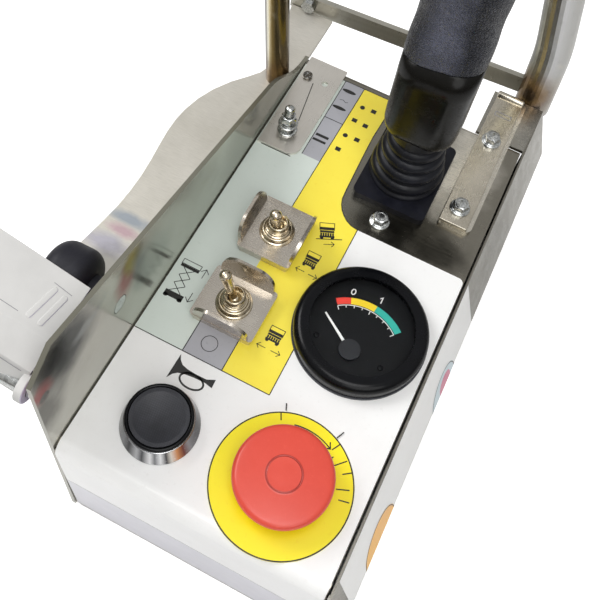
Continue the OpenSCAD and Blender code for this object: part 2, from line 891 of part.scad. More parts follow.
module position_sensor() {
    color("#26272b") at_stick()
        translate([ear_gap + ear_t + pin_over + slip, -sensor_l / 2, pivot_z - sensor_h / 2]) {
            cube([sensor_w, sensor_l, sensor_h]);
            translate([-pin_over - slip, 0, 0]) difference() {
                cube([pin_over + slip, sensor_l, sensor_h]);
                translate([-over, sensor_l / 2, sensor_h / 2]) rotate([0, 90, 0])
                    cylinder(d = pivot_d + 2 * over, h = pin_over + slip + over);
            }
        }
}

module pivot_pin() {
    color("#a9acb0") at_stick() translate([-ear_gap - ear_t - pin_over, 0, pivot_z]) rotate([0, 90, 0])
        cylinder(d = pivot_d, h = 2 * (ear_gap + ear_t + pin_over));
}

collar_z = flange_t + boot_h - collar_lap;
collar_top = collar_z + collar_h;

module joystick_shaft() {
    color("#9fa2a6") at_stick() difference() {
        union() {
            translate([-hub_w / 2, 0, pivot_z]) rotate([0, 90, 0]) cylinder(d = hub_d, h = hub_w);
            translate([0, 0, pivot_z]) cylinder(d = shaft_d, h = pivot_depth + collar_top + shaft_top);
        }
        translate([-hub_w, 0, pivot_z]) rotate([0, 90, 0])
            cylinder(d = pivot_d + 2 * close_fit, h = 2 * hub_w);
    }
}

module boot_flange() {
    color("#1e1f22") at_stick() translate([0, flange_off_y, 0]) difference() {
        linear_extrude(flange_t) centred_rect(flange_w, flange_l, flange_r);
        translate([0, -flange_off_y, -over]) cylinder(d = yoke_hole_d - 2 * sheet_t, h = flange_t + 2 * over);
    }
}

// Rubber boot: rings of falling size on a tapered tube, with a plain neck
boot_ring_h = (boot_h - boot_neck_h - boot_foot_h) / boot_rings;
function boot_r(i) = (boot_low_d + (boot_high_d - boot_low_d) * i / max(1, boot_rings - 1)) / 2;
function ring_z(i) = boot_foot_h + boot_ring_h * (i + 0.5);
boot_tube_low = boot_r(0) - boot_ring_r;
boot_tube_high = boot_r(boot_rings - 1) - boot_ring_r;

module boot_section() {
    difference() {
        union() {
            polygon([
                [0, 0], [boot_r(0), 0], [boot_r(0), boot_foot_h / 2], [boot_tube_low, boot_foot_h],
                [boot_tube_high, boot_h - boot_neck_h], [boot_neck_d / 2, boot_h - boot_neck_h],
                [boot_neck_d / 2, boot_h], [0, boot_h]
            ]);
            for (i = [0 : boot_rings - 1])
                translate([boot_r(i) - boot_ring_r, ring_z(i)]) circle(r = boot_ring_r);
        }
        polygon([
            [0, -over], [boot_tube_low - boot_wall, -over],
            [boot_tube_high - boot_wall, boot_h - boot_neck_h],
            [boot_tube_high - boot_wall, boot_h - boot_wall],
            [shaft_d / 2 + close_fit, boot_h - boot_wall],
            [shaft_d / 2 + close_fit, boot_h + over], [0, boot_h + over]
        ]);
        translate([-boot_low_d, -over]) square([boot_low_d, boot_h + 2 * over]);
    }
}

module rubber_boot() {
    color("#17181b") at_stick() translate([0, 0, flange_t]) rotate_extrude() boot_section();
}

// Collar under the grip, hollow where it laps over the boot's neck
module collar_outline(shrink) {
    centred_rect(grip_w - 2 * shrink, grip_depth - 2 * shrink, collar_r - shrink);
}

module joystick_collar() {
    color("#1b1b1f") at_stick() difference() {
        union() {
            translate([0, 0, collar_z + collar_chamfer])
                linear_extrude(collar_h - collar_chamfer) collar_outline(0);
            translate([0, 0, collar_z]) linear_extrude(collar_chamfer) collar_outline(collar_wall / 2);
        }
        translate([0, 0, collar_z - over]) cylinder(d = boot_neck_d + 6 * slip, h = collar_lap + slip + over);
        translate([0, 0, collar_z]) cylinder(d = shaft_d + 2 * close_fit, h = collar_h + over);
    }
}

// Grip: a moulded handle in two halves that meet on the pivot's plane
grip_front_view = concat(
    [[-grip_w / 2, 0]],
    curve([[-grip_w / 2, grip_h / 6], [-grip_w / 2 + grip_waist, grip_h / 3],
        [-grip_w / 2, grip_h / 2], [-grip_w / 2, grip_h - grip_r]], grip_steps),
    [for (i = [1 : grip_steps]) [
        -grip_w / 2 + grip_r * (1 - cos(90 * i / grip_steps)),
        grip_h - grip_r * (1 - sin(90 * i / grip_steps))
    ]],
    [for (i = [0 : grip_steps]) [
        grip_w / 2 - grip_r * (1 - sin(90 * i / grip_steps)),
        grip_h - grip_r * (1 - cos(90 * i / grip_steps))
    ]],
    curve([[grip_w / 2, grip_h - grip_r], [grip_w / 2, grip_h / 2],
        [grip_w / 2 - grip_waist, grip_h / 3], [grip_w / 2, grip_h / 6]], grip_steps),
    [[grip_w / 2, 0]]
);

grip_side_view = concat(
    [[-grip_depth / 2, 0]],
    curve([[-grip_depth / 2, grip_h / 8], [-grip_depth / 2 + grip_waist, grip_h / 3],
        [-grip_depth / 2 - grip_belly, grip_h / 2],
        [-grip_depth / 2 - grip_head_forward, grip_h - grip_r]], grip_steps),
    [[-grip_depth / 2 - grip_head_forward / 2, grip_h - grip_r / 2], [-grip_depth / 2 + grip_r / 2, grip_h]],
    [[grip_depth / 2 - grip_r, grip_h], [grip_depth / 2 - grip_waist, grip_h - grip_r / 2]],
    curve([[grip_depth / 2, grip_h - grip_r], [grip_depth / 2 - 2 * grip_waist, grip_h / 2],
        [grip_depth / 2, grip_h / 3], [grip_depth / 2, grip_h / 8]], grip_steps),
    [[grip_depth / 2, 0]]
);

module grip_form() {
    intersection() {
        translate([0, grip_depth, 0]) rotate([90, 0, 0])
            linear_extrude(2 * grip_depth) polygon(grip_front_view);
        translate([-grip_w, 0, 0]) across(2 * grip_w) polygon(grip_side_view);
        linear_extrude(grip_h + over) translate([0, -grip_head_forward / 2])
            centred_rect(grip_w, grip_depth + grip_head_forward, collar_r);
    }
}

trigger_pin_y = grip_depth / 2 - trigger_depth / 2;
trigger_pin_z = grip_h - trigger_down;
rocker_pin_z = grip_h - rocker_down;

module grip_pockets() {
    translate([0, 0, -over]) cylinder(d = shaft_d + 2 * close_fit, h = shaft_top + slip + over);
    translate([-pocket_w / 2, trigger_pin_y - trigger_depth / 2, trigger_pin_z - trigger_l - over])
        cube([pocket_w, grip_depth, trigger_l + trigger_depth / 2 + over]);
    translate([-grip_w / 2 + grip_shell, trigger_pin_y, trigger_pin_z]) rotate([0, 90, 0])
        cylinder(d = trigger_pin_d + 2 * run_fit, h = grip_w - 2 * grip_shell);
    translate([-rocker_w / 2 - 3 * slip, -rocker_forward - rocker_l / 2 - slip,
        grip_h - rocker_h - rocker_swing])
        cube([rocker_w + 6 * slip, rocker_l + 2 * slip, rocker_h + rocker_swing + over]);
    translate([0, -rocker_forward - rocker_l / 2 - grip_shell, rocker_pin_z]) rotate([-90, 0, 0])
        cylinder(d = rocker_pin_d + 2 * run_fit, h = rocker_l + 2 * grip_shell);
}

module grip_half(side) {
    at_stick() translate([0, 0, collar_top]) intersection() {
        difference() {
            grip_form();
            grip_pockets();
        }
        translate([-grip_w, side > 0 ? 0 : -2 * grip_depth, -over])
            cube([2 * grip_w, 2 * grip_depth, grip_h + 2 * over]);
    }
}

module grip_front() {
    color("#2a2a30") grip_half(-1);
}

module grip_rear() {
    color("#28282e") grip_half(1);
}

module enable_trigger() {
    color("#121215") at_stick() translate([0, trigger_pin_y, collar_top + trigger_pin_z]) {
        translate([-grip_w / 2 + grip_shell + slip, 0, 0]) rotate([0, 90, 0])
            cylinder(d = trigger_pin_d, h = grip_w - 2 * grip_shell - 2 * slip);
        translate([-trigger_w / 2, 0, 0]) across(trigger_w) union() {
            circle(d = trigger_depth - 2 * slip);
            polygon(concat(
                [[0, trigger_depth / 2 - slip]],
                curve([
                    [trigger_depth / 2, trigger_depth / 2 - slip], [trigger_depth / 2 + trigger_out, 0],
                    [trigger_depth / 2 - trigger_out / 2, -trigger_l / 2],
                    [trigger_depth / 2 + trigger_out, slip + slip - trigger_l]
                ], grip_steps),
                [[trigger_depth / 2, slip + slip - trigger_l], [0, -trigger_depth / 2]]
            ));
        }
    }
}

module thumb_rocker() {
    color("#3a3a40") at_stick() translate([0, -rocker_forward, collar_top + rocker_pin_z]) {
        translate([0, -rocker_l / 2 - grip_shell + slip, 0]) rotate([-90, 0, 0])
            cylinder(d = rocker_pin_d, h = rocker_l + 2 * grip_shell - 2 * slip);
        translate([0, rocker_l / 2, 0]) rotate([90, 0, 0]) linear_extrude(rocker_l) union() {
            circle(d = rocker_h);
            polygon([
                [-rocker_w / 2 + slip, rocker_down / 2 + rocker_swing], [0, rocker_down / 2],
                [rocker_w / 2 - slip, rocker_down / 2 + rocker_swing], [rocker_w / 2 - slip, 0],
                [rocker_h / 2, -rocker_h / 4], [-rocker_h / 2, -rocker_h / 4], [-rocker_w / 2 + slip, 0]
            ]);
        }
    }
}

// One guard: a plate with two flanges that rise beside the lever
module guard_flange() {
    half = guard_flange_l / 2;
    translate([-half, -guard_t]) square([guard_flange_l, guard_t + guard_h - guard_round]);
    translate([-half + guard_round, 0]) square([guard_flange_l - 2 * guard_round, guard_h]);
    for (s = [-1, 1]) intersection() {
        translate([s * (half - guard_round), guard_h - guard_round]) circle(r = guard_round);
        translate([-half, 0]) square([guard_flange_l, guard_h]);
    }
}

module guard_body() {
    difference() {
        union() {
            linear_extrude(guard_t) centred_rect(guard_w + 2 * guard_edge, guard_l, guard_edge);
            for (s = [-1, 1]) translate([s * (guard_w + guard_t) / 2, 0, guard_t])
                rotate([0, s * guard_flange_lean, 0])
                    translate([-guard_t / 2, 0, 0]) across(guard_t) guard_flange();
        }
        translate([0, 0, -over]) cylinder(d = bush_d + slip, h = guard_t + 2 * over);
        translate([-guard_w, -guard_l, -guard_h]) cube([2 * guard_w, 2 * guard_l, guard_h]);
    }
}

module guard_block() {
    linear_extrude(spacer_t) difference() {
        centred_rect(guard_w + 2 * guard_edge - guard_t, guard_l - guard_t, guard_edge);
        circle(d = bush_d + slip);
    }
}

// One toggle switch: body and bush under the guard, ring nut, ball-ended lever
bush_top = spacer_t + guard_t + bush_h;

module switch_body() {
    translate([-switch_l / 2, -switch_w / 2, inner_top - switch_h]) cube([switch_l, switch_w, switch_h]);
    difference() {
        translate([0, 0, inner_top - over]) cylinder(d = bush_d, h = bush_top - inner_top + over);
        translate([0, 0, bush_top - lever_pivot_z - lever_ball_d])
            cylinder(d = lever_ball_d + 2 * slip, h = bush_top);
    }
    for (i = [-1 : 1])
        translate([i * terminal_pitch - terminal_w / 2, -terminal_l / 2, inner_top - switch_h - terminal_h])
            cube([terminal_w, terminal_l, terminal_h + over]);
}

module switch_nut() {
    translate([0, 0, spacer_t + guard_t]) difference() {
        union() {
            cylinder(d = ring_washer_d, h = washer_t);
            translate([0, 0, washer_t]) cylinder(d = ring_nut_d, h = ring_nut_h);
        }
        translate([0, 0, -over]) cylinder(d = bush_d + 2 * close_fit, h = ring_nut_h + washer_t + 2 * over);
    }
}

lever_pivot = bush_top - lever_pivot_z;

// The lever leans towards the direction given by turn
module switch_lever(turn) {
    translate([0, 0, lever_pivot]) rotate([0, 0, turn]) rotate([0, lever_lean, 0]) {
        sphere(d = lever_ball_d);
        rotate([90, 0, 0]) translate([0, 0, -lever_ball_d / 2 - slip / 2])
            cylinder(d = lever_pin_d, h = lever_ball_d + slip);
        cylinder(d1 = lever_root_d, d2 = lever_tip_d - slip, h = lever_l);
        translate([0, 0, lever_l]) sphere(d = lever_tip_d);
    }
}

module at_front_toggle() {
    on_panel() translate([toggle_a_x, toggle_a_y, 0]) children();
}

module at_rear_toggle() {
    on_panel() translate([toggle_b_x, toggle_b_y, 0]) children();
}

module front_guard() {
    color("#cfc3a8") at_front_toggle() translate([0, 0, spacer_t]) rotate([0, 0, 90]) guard_body();
}

module front_guard_spacer() {
    color("#b8b0a0") at_front_toggle() rotate([0, 0, 90]) guard_block();
}

module front_switch_body() {
    color("#9a9a94") at_front_toggle() rotate([0, 0, 90]) switch_body();
}

module front_switch_nut() {
    color("#b9aa8a") at_front_toggle() switch_nut();
}

module front_lever() {
    color("#d8c9a6") at_front_toggle() switch_lever(180);
}

module rear_guard() {
    color("#cfc3a8") at_rear_toggle() translate([0, 0, spacer_t]) guard_body();
}

module rear_guard_spacer() {
    color("#b8b0a0") at_rear_toggle() guard_block();
}

module rear_switch_body() {
    color("#9a9a94") at_rear_toggle() switch_body();
}

module rear_switch_nut() {
    color("#b9aa8a") at_rear_toggle() switch_nut();
}

module rear_lever() {
    color("#d8c9a6") at_rear_toggle() switch_lever(-90);
}

// Gauge: case, bezel, dial, glass, needle and the clamp behind
module at_gauge() {
    on_panel() translate([gauge_x, gauge_y, 0]) children();
}

module gauge_case() {
    color("#b9bcc0") at_gauge() difference() {
        union() {
            translate([0, 0, -case_depth]) cylinder(d = case_d, h = case_depth);
            cylinder(d = rim_d, h = rim_t);
            for (s = [-1, 1]) translate([0, s * clamp_stud_pitch / 2, -case_depth - clamp_stud_l])
                cylinder(d = clamp_stud_d, h = clamp_stud_l + over);
        }
        translate([0, 0, -case_depth + 2 * sheet_t])
            cylinder(d = case_d - 2 * sheet_t, h = case_depth + bezel_h);
    }
}

module gauge_bezel() {
    color("#1c1d22") at_gauge() rotate_extrude() difference() {
        union() {
            translate([0, rim_t]) square([bezel_d / 2, bezel_h - rim_t - bezel_round]);
            translate([0, rim_t]) square([bezel_d / 2 - bezel_round, bezel_h - rim_t]);
            translate([bezel_d / 2 - bezel_round, bezel_h - bezel_round]) circle(r = bezel_round);
        }
        translate([-over, -over]) square([window_d / 2 + over, bezel_h + 2 * over]);
        translate([-over, -over]) square([window_d / 2 + glass_lap + over, bezel_h - glass_below + over]);
        translate([-bezel_d, -over]) square([bezel_d, bezel_h + 2 * over]);
    }
}

module gauge_dial() {
    color("#101114") at_gauge() translate([0, 0, dial_z]) difference() {
        cylinder(d = window_d + 2 * glass_lap - 2 * close_fit, h = dial_t);
        translate([-hub_left, -hub_back, -over]) cylinder(d = spindle_d + 2 * slip, h = dial_t + 2 * over);
    }
}

module gauge_glass() {
    color("#dfe6ea60") at_gauge() translate([0, 0, bezel_h - glass_below - glass_t])
        cylinder(d = window_d + 2 * glass_lap - 2 * close_fit, h = glass_t - close_fit);
}

module gauge_needle() {
    color("#f4f4f0") at_gauge() translate([-hub_left, -hub_back, dial_z + dial_t + needle_rise]) {
        cylinder(d = needle_hub_d, h = needle_hub_h);
        rotate([0, 0, 90 + needle_angle]) linear_extrude(needle_t)
            polygon([
                [0, -needle_w / 2], [needle_l, -needle_w / 4], [needle_l, needle_w / 4], [0, needle_w / 2]
            ]);
        translate([0, 0, -dial_z - dial_t - needle_rise])
            cylinder(d = spindle_d, h = dial_z + dial_t + needle_rise);
    }
}

module gauge_clamp() {
    color("#a7a9ab") at_gauge() rotate([0, 0, 90]) {
        translate([0, 0, -case_depth - clamp_t - close_fit]) linear_extrude(clamp_t) difference() {
            centred_rect(case_d + 2 * clamp_leg, clamp_w, clamp_t);
            for (s = [-1, 1]) translate([s * clamp_stud_pitch / 2, 0]) circle(d = clamp_stud_d + slip);
        }
        for (s = [-1, 1]) {
            translate([s * (case_d / 2 + clamp_leg - clamp_t) - clamp_t / 2, -clamp_w / 2,
                -case_depth - clamp_t / 2])
                cube([clamp_t, clamp_w, case_depth + clamp_t / 2 - sheet_t]);
            translate([s * clamp_stud_pitch / 2, 0, -case_depth - clamp_t - clamp_stud_d]) difference() {
                hex_prism(clamp_nut_d, clamp_stud_d);
                translate([0, 0, -over])
                    cylinder(d = clamp_stud_d + 2 * close_fit, h = clamp_stud_d + 2 * over);
            }
        }
    }
}

// Horn button: flared skirt, ring, dished cap and contact block
module at_horn() {
    on_panel() translate([horn_x, horn_y, 0]) children();
}

module horn_bezel() {
    color("#b9b9bb") at_horn() difference() {
        union() {
            cylinder(d1 = skirt_d, d2 = ring_d + slip, h = skirt_h);
            cylinder(d = ring_d, h = horn_h);
            translate([0, 0, -horn_bush_l]) cylinder(d = horn_bush_d, h = horn_bush_l + over);
            translate([0, 0, inner_top - panel_nut_t]) cylinder(d = panel_nut_d, h = panel_nut_t);
        }
        translate([0, 0, horn_h - horn_travel - 3 * sheet_t]) cylinder(d = cap_d + 2 * slip, h = horn_h);
        translate([0, 0, -horn_bush_l - over])
            cylinder(d = stem_d + 2 * run_fit, h = horn_bush_l + horn_h);
    }
}

module horn_cap() {
    color("#1a1a1c") at_horn() difference() {
        union() {
            translate([0, 0, horn_h - 2 * sheet_t]) cylinder(d = cap_d, h = 2 * sheet_t - slip);
            translate([0, 0, -horn_bush_l + slip])
                cylinder(d = stem_d, h = horn_bush_l + horn_h - 2 * sheet_t);
        }
        translate([0, 0, horn_h - cap_dish + dish_r - slip]) sphere(r = dish_r);
    }
}
dish_r = (pow(cap_d / 2 - cap_dish, 2) + pow(cap_dish, 2)) / (2 * cap_dish);

module horn_contact() {
    color("#2b2c30") at_horn()
    translate([-contact_w / 2, -contact_w / 2, -horn_bush_l - contact_h]) difference() {
        cube([contact_w, contact_w, contact_h]);
        translate([contact_w / 2, contact_w / 2, contact_h - horn_travel - over])
            cylinder(d = stem_d + 2 * slip, h = horn_travel + 2 * over);
    }
}

// Stop button: disc, fixed body, plunger and a mushroom that twists to release
module at_stop() {
    on_panel() translate([stop_x, stop_y, 0]) children();
}

module stop_disc() {
    color("#f2d21a") at_stop() difference() {
        cylinder(d = disc_d, h = disc_t);
        translate([0, 0, -over]) cylinder(d = stop_bush_d + slip, h = disc_t + 2 * over);
    }
}

module stop_body() {
    color("#2b2c30") at_stop() difference() {
        union() {
            translate([0, 0, disc_t]) cylinder(d = stop_collar_d, h = stop_collar_h);
            translate([0, 0, -horn_bush_l]) cylinder(d = stop_bush_d, h = horn_bush_l + disc_t + over);
            translate([0, 0, inner_top - panel_nut_t]) cylinder(d = panel_nut_d, h = panel_nut_t);
        }
        translate([0, 0, -horn_bush_l - over])
            cylinder(d = stop_stem_d + 2 * run_fit, h = horn_bush_l + stop_collar_h + disc_t + 2 * over);
    }
}

mushroom_low = disc_t + stop_collar_h + stop_travel + slip;

module stop_plunger() {
    color("#3a3b3f") at_stop() {
        translate([0, 0, -horn_bush_l + slip])
            cylinder(d = stop_stem_d, h = horn_bush_l + mushroom_low - slip);
        translate([0, 0, mushroom_low - slip]) cylinder(d = plunger_top_d, h = skirt_up + slip);
    }
}

stop_dome_r = (pow(mushroom_d / 2 - stop_edge_r, 2) + pow(stop_crown, 2)) / (2 * stop_crown);

module stop_mushroom() {
    color("#e2231f") at_stop() difference() {
        intersection() {
            translate([0, 0, mushroom_low])
                cylinder(d = mushroom_d, h = mushroom_h + stop_crown - mushroom_low);
            translate([0, 0, mushroom_h + stop_crown - stop_dome_r]) sphere(r = stop_dome_r, $fn = 2 * $fn);
        }
        translate([0, 0, mushroom_low - over])
            cylinder(d = plunger_top_d + 2 * run_fit, h = skirt_up + over + close_fit);
        translate([0, 0, mushroom_h + stop_crown - stop_mark_t]) difference() {
            cylinder(d = stop_mark_d, h = over);
            translate([0, 0, -over]) cylinder(d = stop_mark_d - 2 * stop_mark_w, h = 3 * over);
        }
    }
}

module stop_contact() {
    color("#2b2c30") at_stop()
    translate([-contact_w / 2, -contact_w / 2, -horn_bush_l - contact_h]) difference() {
        cube([contact_w, contact_w, contact_h]);
        translate([contact_w / 2, contact_w / 2, contact_h - stop_travel - over])
            cylinder(d = stop_stem_d + 2 * slip, h = stop_travel + 2 * over);
    }
}

// Socket at the left: body, insert, hinged lid and its pin
pin_y_in = pin_y + socket_pin_d / 2;
lid_front_y = socket_back_y - lid_l;

module socket_frame() {
    translate([socket_x, 0, socket_z]) rotate([0, socket_tilt, 0]) children();
}

function lid_outline(inset) = [
    [socket_back_y - inset, -lid_back_h - (inset > 0 ? over : 0)],
    [socket_back_y - inset, -inset],
    [socket_back_y - lid_slope_y, -inset],
    [lid_front_y + lid_front_drop + inset / 2, -lid_front_drop - inset / 2],
    [lid_front_y + inset, -lid_front_drop - lid_edge_drop],
    [lid_front_y + inset, -lid_h - (inset > 0 ? over : 0)]
];

module lid_ribs() {
    for (i = [0, 1]) translate([-rib_in - i * rib_pitch, socket_back_y - rib_back - rib_l, -over])
        linear_extrude(over + rib_t) {
            translate([-rib_w / 2, 0]) square([rib_w, rib_l]);
            for (y = [0, rib_l]) translate([0, y]) circle(d = rib_w);
        }
}

module knuckle(d) {
    translate([-wing_t - knuckle_out - knuckle_w, pin_y_in, pin_z]) rotate([0, 90, 0])
        cylinder(d = d, h = knuckle_w);
}

module socket_lid() {
    color("#dcdcda") on_panel() difference() {
        union() {
            socket_frame() difference() {
                union() {
                    translate([-lid_w, 0, 0]) across(lid_w) polygon(lid_outline(0));
                    lid_ribs();
                }
                translate([-lid_w + lid_wall, 0, 0])
                    across(lid_w - 2 * lid_wall) polygon(lid_outline(lid_wall));
            }
            knuckle(knuckle_d);
        }
        translate([-wing_t - lid_w, pin_y_in, pin_z]) rotate([0, 90, 0])
            cylinder(d = socket_pin_d + 2 * run_fit, h = lid_w);
    }
}

module socket_pin() {
    color("#c8cacc") on_panel() translate([-wing_t - socket_pin_l, pin_y_in, pin_z]) rotate([0, 90, 0])
        cylinder(d = socket_pin_d, h = socket_pin_l + wing_t);
}

body_front = lid_front_y + knuckle_d + 2 * body_play;
body_left = -lid_w + lid_wall + body_play;
body_l = body_back_y - body_front;
body_w = -body_left - lid_wall - body_play - body_swing_play;
body_low = -lid_h - body_below;
body_top = lid_wall + body_play + lid_front_drop / 2;
insert_z = -insert_depth - lid_wall - lid_front_drop;
insert_first_x = body_left + insert_wall + contact_in_x;
insert_first_y = body_front + insert_wall + contact_in_y;

module socket_body() {
    color("#d9d6c8") on_panel() {
        socket_frame() difference() {
            translate([body_left, body_front, body_low]) cube([body_w, body_l, -body_low - body_top]);
            translate([body_left + insert_wall, body_front + insert_wall, insert_z])
                cube([body_w - 2 * insert_wall, body_l - 2 * insert_wall, lid_h]);
        }
        difference() {
            translate([-foot_out, body_front, foot_z]) cube([foot_out - wing_t, foot_l, foot_h]);
            socket_frame() translate([body_left, 0, body_low]) cube([body_w, box_l, 3 * lid_h]);
            socket_frame() translate([-lid_w - over, -over, -lid_h - slip])
                cube([2 * lid_w, box_l, 3 * lid_h]);
        }
    }
}

module socket_insert() {
    color("#3b3c40") on_panel() socket_frame() difference() {
        translate([body_left + insert_wall + slip, body_front + insert_wall + slip, insert_z])
            cube([
                body_w - 2 * insert_wall - 2 * slip,
                body_l - 2 * insert_wall - 2 * slip,
                insert_depth / 2
            ]);
        for (i = [0 : 3], j = [0, 1])
            translate([insert_first_x + contact_pitch * i, insert_first_y + contact_row * j, insert_z + over])
                cylinder(d = contact_hole_d, h = insert_depth);
    }
}

// Clamp knob on a stud through the left plate
module at_knob() {
    on_panel() translate([-wing_t, knob_y, knob_z]) rotate([0, -90, 0]) children();
}

module knob_section() {
    translate([0, slip]) square([knob_neck_d / 2, knob_neck_l + over]);
    translate([0, knob_neck_l]) square([knob_d / 2 - knob_round, knob_l - knob_neck_l]);
    translate([0, knob_neck_l + knob_round]) square([knob_d / 2, knob_l - knob_neck_l - 2 * knob_round]);
    for (z = [knob_neck_l + knob_round, knob_l - knob_round])
        translate([knob_d / 2 - knob_round, z]) circle(r = knob_round);
}

module clamp_knob() {
    color("#1c1c22") at_knob() difference() {
        rotate_extrude() knob_section();
        translate([0, 0, -over]) cylinder(d = knob_stud_d + 2 * close_fit, h = knob_l - 2 * over);
    }
}

module knob_stud() {
    color("#9fa2a6") at_knob() translate([0, 0, -wing_t])
        cylinder(d = knob_stud_d, h = wing_t + knob_l - 3 * over - slip);
}

housing_shell();
base_cover();
base_screws();
left_wing();
rail_bracket();
bracket_bolt();
right_cheek();
guard_hoop();
left_rod();
rear_crossbar();
strip_spacer();
strip_bracket();
strip_screws();
corner_plate();
corner_stud();
corner_nuts();
corner_screw();
joystick_yoke();
yoke_screws();
position_sensor();
pivot_pin();
joystick_shaft();
boot_flange();
rubber_boot();
joystick_collar();
grip_front();
grip_rear();
enable_trigger();
thumb_rocker();
front_guard();
front_guard_spacer();
front_switch_body();
front_switch_nut();
front_lever();
rear_guard();
rear_guard_spacer();
rear_switch_body();
rear_switch_nut();
rear_lever();
gauge_case();
gauge_bezel();
gauge_dial();
gauge_glass();
gauge_needle();
gauge_clamp();
horn_bezel();
horn_cap();
horn_contact();
stop_disc();
stop_body();
stop_plunger();
stop_mushroom();
stop_contact();
socket_body();
socket_insert();
socket_lid();
socket_pin();
clamp_knob();
knob_stud();
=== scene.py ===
"""Looks of the joystick control box. Places are in millimetres, measured from the panel's front
left corner and from its top. P() turns them into metres in the shared frame."""
import math

import bmesh
import bpy
from mathutils import Matrix, Vector

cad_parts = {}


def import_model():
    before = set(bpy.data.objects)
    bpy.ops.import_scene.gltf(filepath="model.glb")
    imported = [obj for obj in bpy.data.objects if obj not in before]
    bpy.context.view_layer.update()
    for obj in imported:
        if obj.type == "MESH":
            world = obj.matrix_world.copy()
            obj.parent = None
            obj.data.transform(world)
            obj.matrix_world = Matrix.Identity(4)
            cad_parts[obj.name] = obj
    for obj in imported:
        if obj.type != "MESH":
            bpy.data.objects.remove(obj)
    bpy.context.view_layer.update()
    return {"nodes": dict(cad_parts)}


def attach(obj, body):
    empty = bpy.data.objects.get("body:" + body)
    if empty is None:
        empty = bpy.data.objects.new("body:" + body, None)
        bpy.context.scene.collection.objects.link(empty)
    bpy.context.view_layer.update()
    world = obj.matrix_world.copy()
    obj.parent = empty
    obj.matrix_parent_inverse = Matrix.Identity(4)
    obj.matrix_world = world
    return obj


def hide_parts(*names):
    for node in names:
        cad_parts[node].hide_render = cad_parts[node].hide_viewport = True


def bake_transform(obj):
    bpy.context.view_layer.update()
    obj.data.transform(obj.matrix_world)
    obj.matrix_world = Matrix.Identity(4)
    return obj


MM = 0.001
CORNER = Vector((61.2, 117.8, -90))
BEND_R = 6
FLANK_TOP_X, FLANK_SIDE_X, FLANK_DROP = 123.2, 133.6, 32
STICK = (73.5, 192)
HUB = (87.9, 93.1)
HOOP_FOOT = (112, 266, 6)
ROD_FOOT = (-6, 211, 2)
HORN = (32.6, 28.5)
STOP = (87.2, 30.2)
TOGGLES = {"front": (34.2, 88.4), "rear": (34.3, 129.7)}

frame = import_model()
NODES = frame["nodes"]


def P(x, y, z=0):
    return (Vector((x, y, z)) - CORNER) * MM


def tone(code):
    """A colour written as rrggbb, as linear red, green, blue and alpha."""
    parts = [int(code[i:i + 2], 16) / 255 for i in (0, 2, 4)]
    lin = [c / 12.92 if c <= 0.04045 else ((c + 0.055) / 1.055) ** 2.4 for c in parts]
    return (*lin, 1)


# -------- shading
EVEN = (1, 1, 1)
MIX_FROM, MIX_TO, MIX_RESULT = 6, 7, 2  # where a mix node keeps its colours


class Shading:
    """Builds a shader tree. A node's inputs are given as values or as other nodes' outputs."""

    def __init__(self, owner):
        owner.use_nodes = True
        self.tree = owner.node_tree

    def feed(self, socket, value):
        if isinstance(value, bpy.types.NodeSocket):
            self.tree.links.new(value, socket)
        elif value is not None:
            socket.default_value = value

    def node(self, kind, inputs=(), **props):
        made = self.tree.nodes.new("ShaderNode" + kind)
        for key, value in props.items():
            setattr(made, key, value)
        for key, value in dict(inputs).items():
            self.feed(made.inputs[key], value)
        return made

    def between(self, fac, low, high, a=0, b=1):
        """Maps low to high onto a to b, and holds what lies beyond."""
        ends = {"Value": fac, "From Min": low, "From Max": high, "To Min": a, "To Max": b}
        return self.node("MapRange", ends).outputs["Result"]

    def ramp(self, fac, stops):
        """Colours by a value: stops are (place, colour)."""
        made = self.node("ValToRGB", {0: fac})
        slots = made.color_ramp.elements
        slots.remove(slots[1])
        for i, (place, colour) in enumerate(stops):
            slot = slots.new(place) if i else slots[0]
            slot.position, slot.color = place, tone(colour)
        return made.outputs[0]


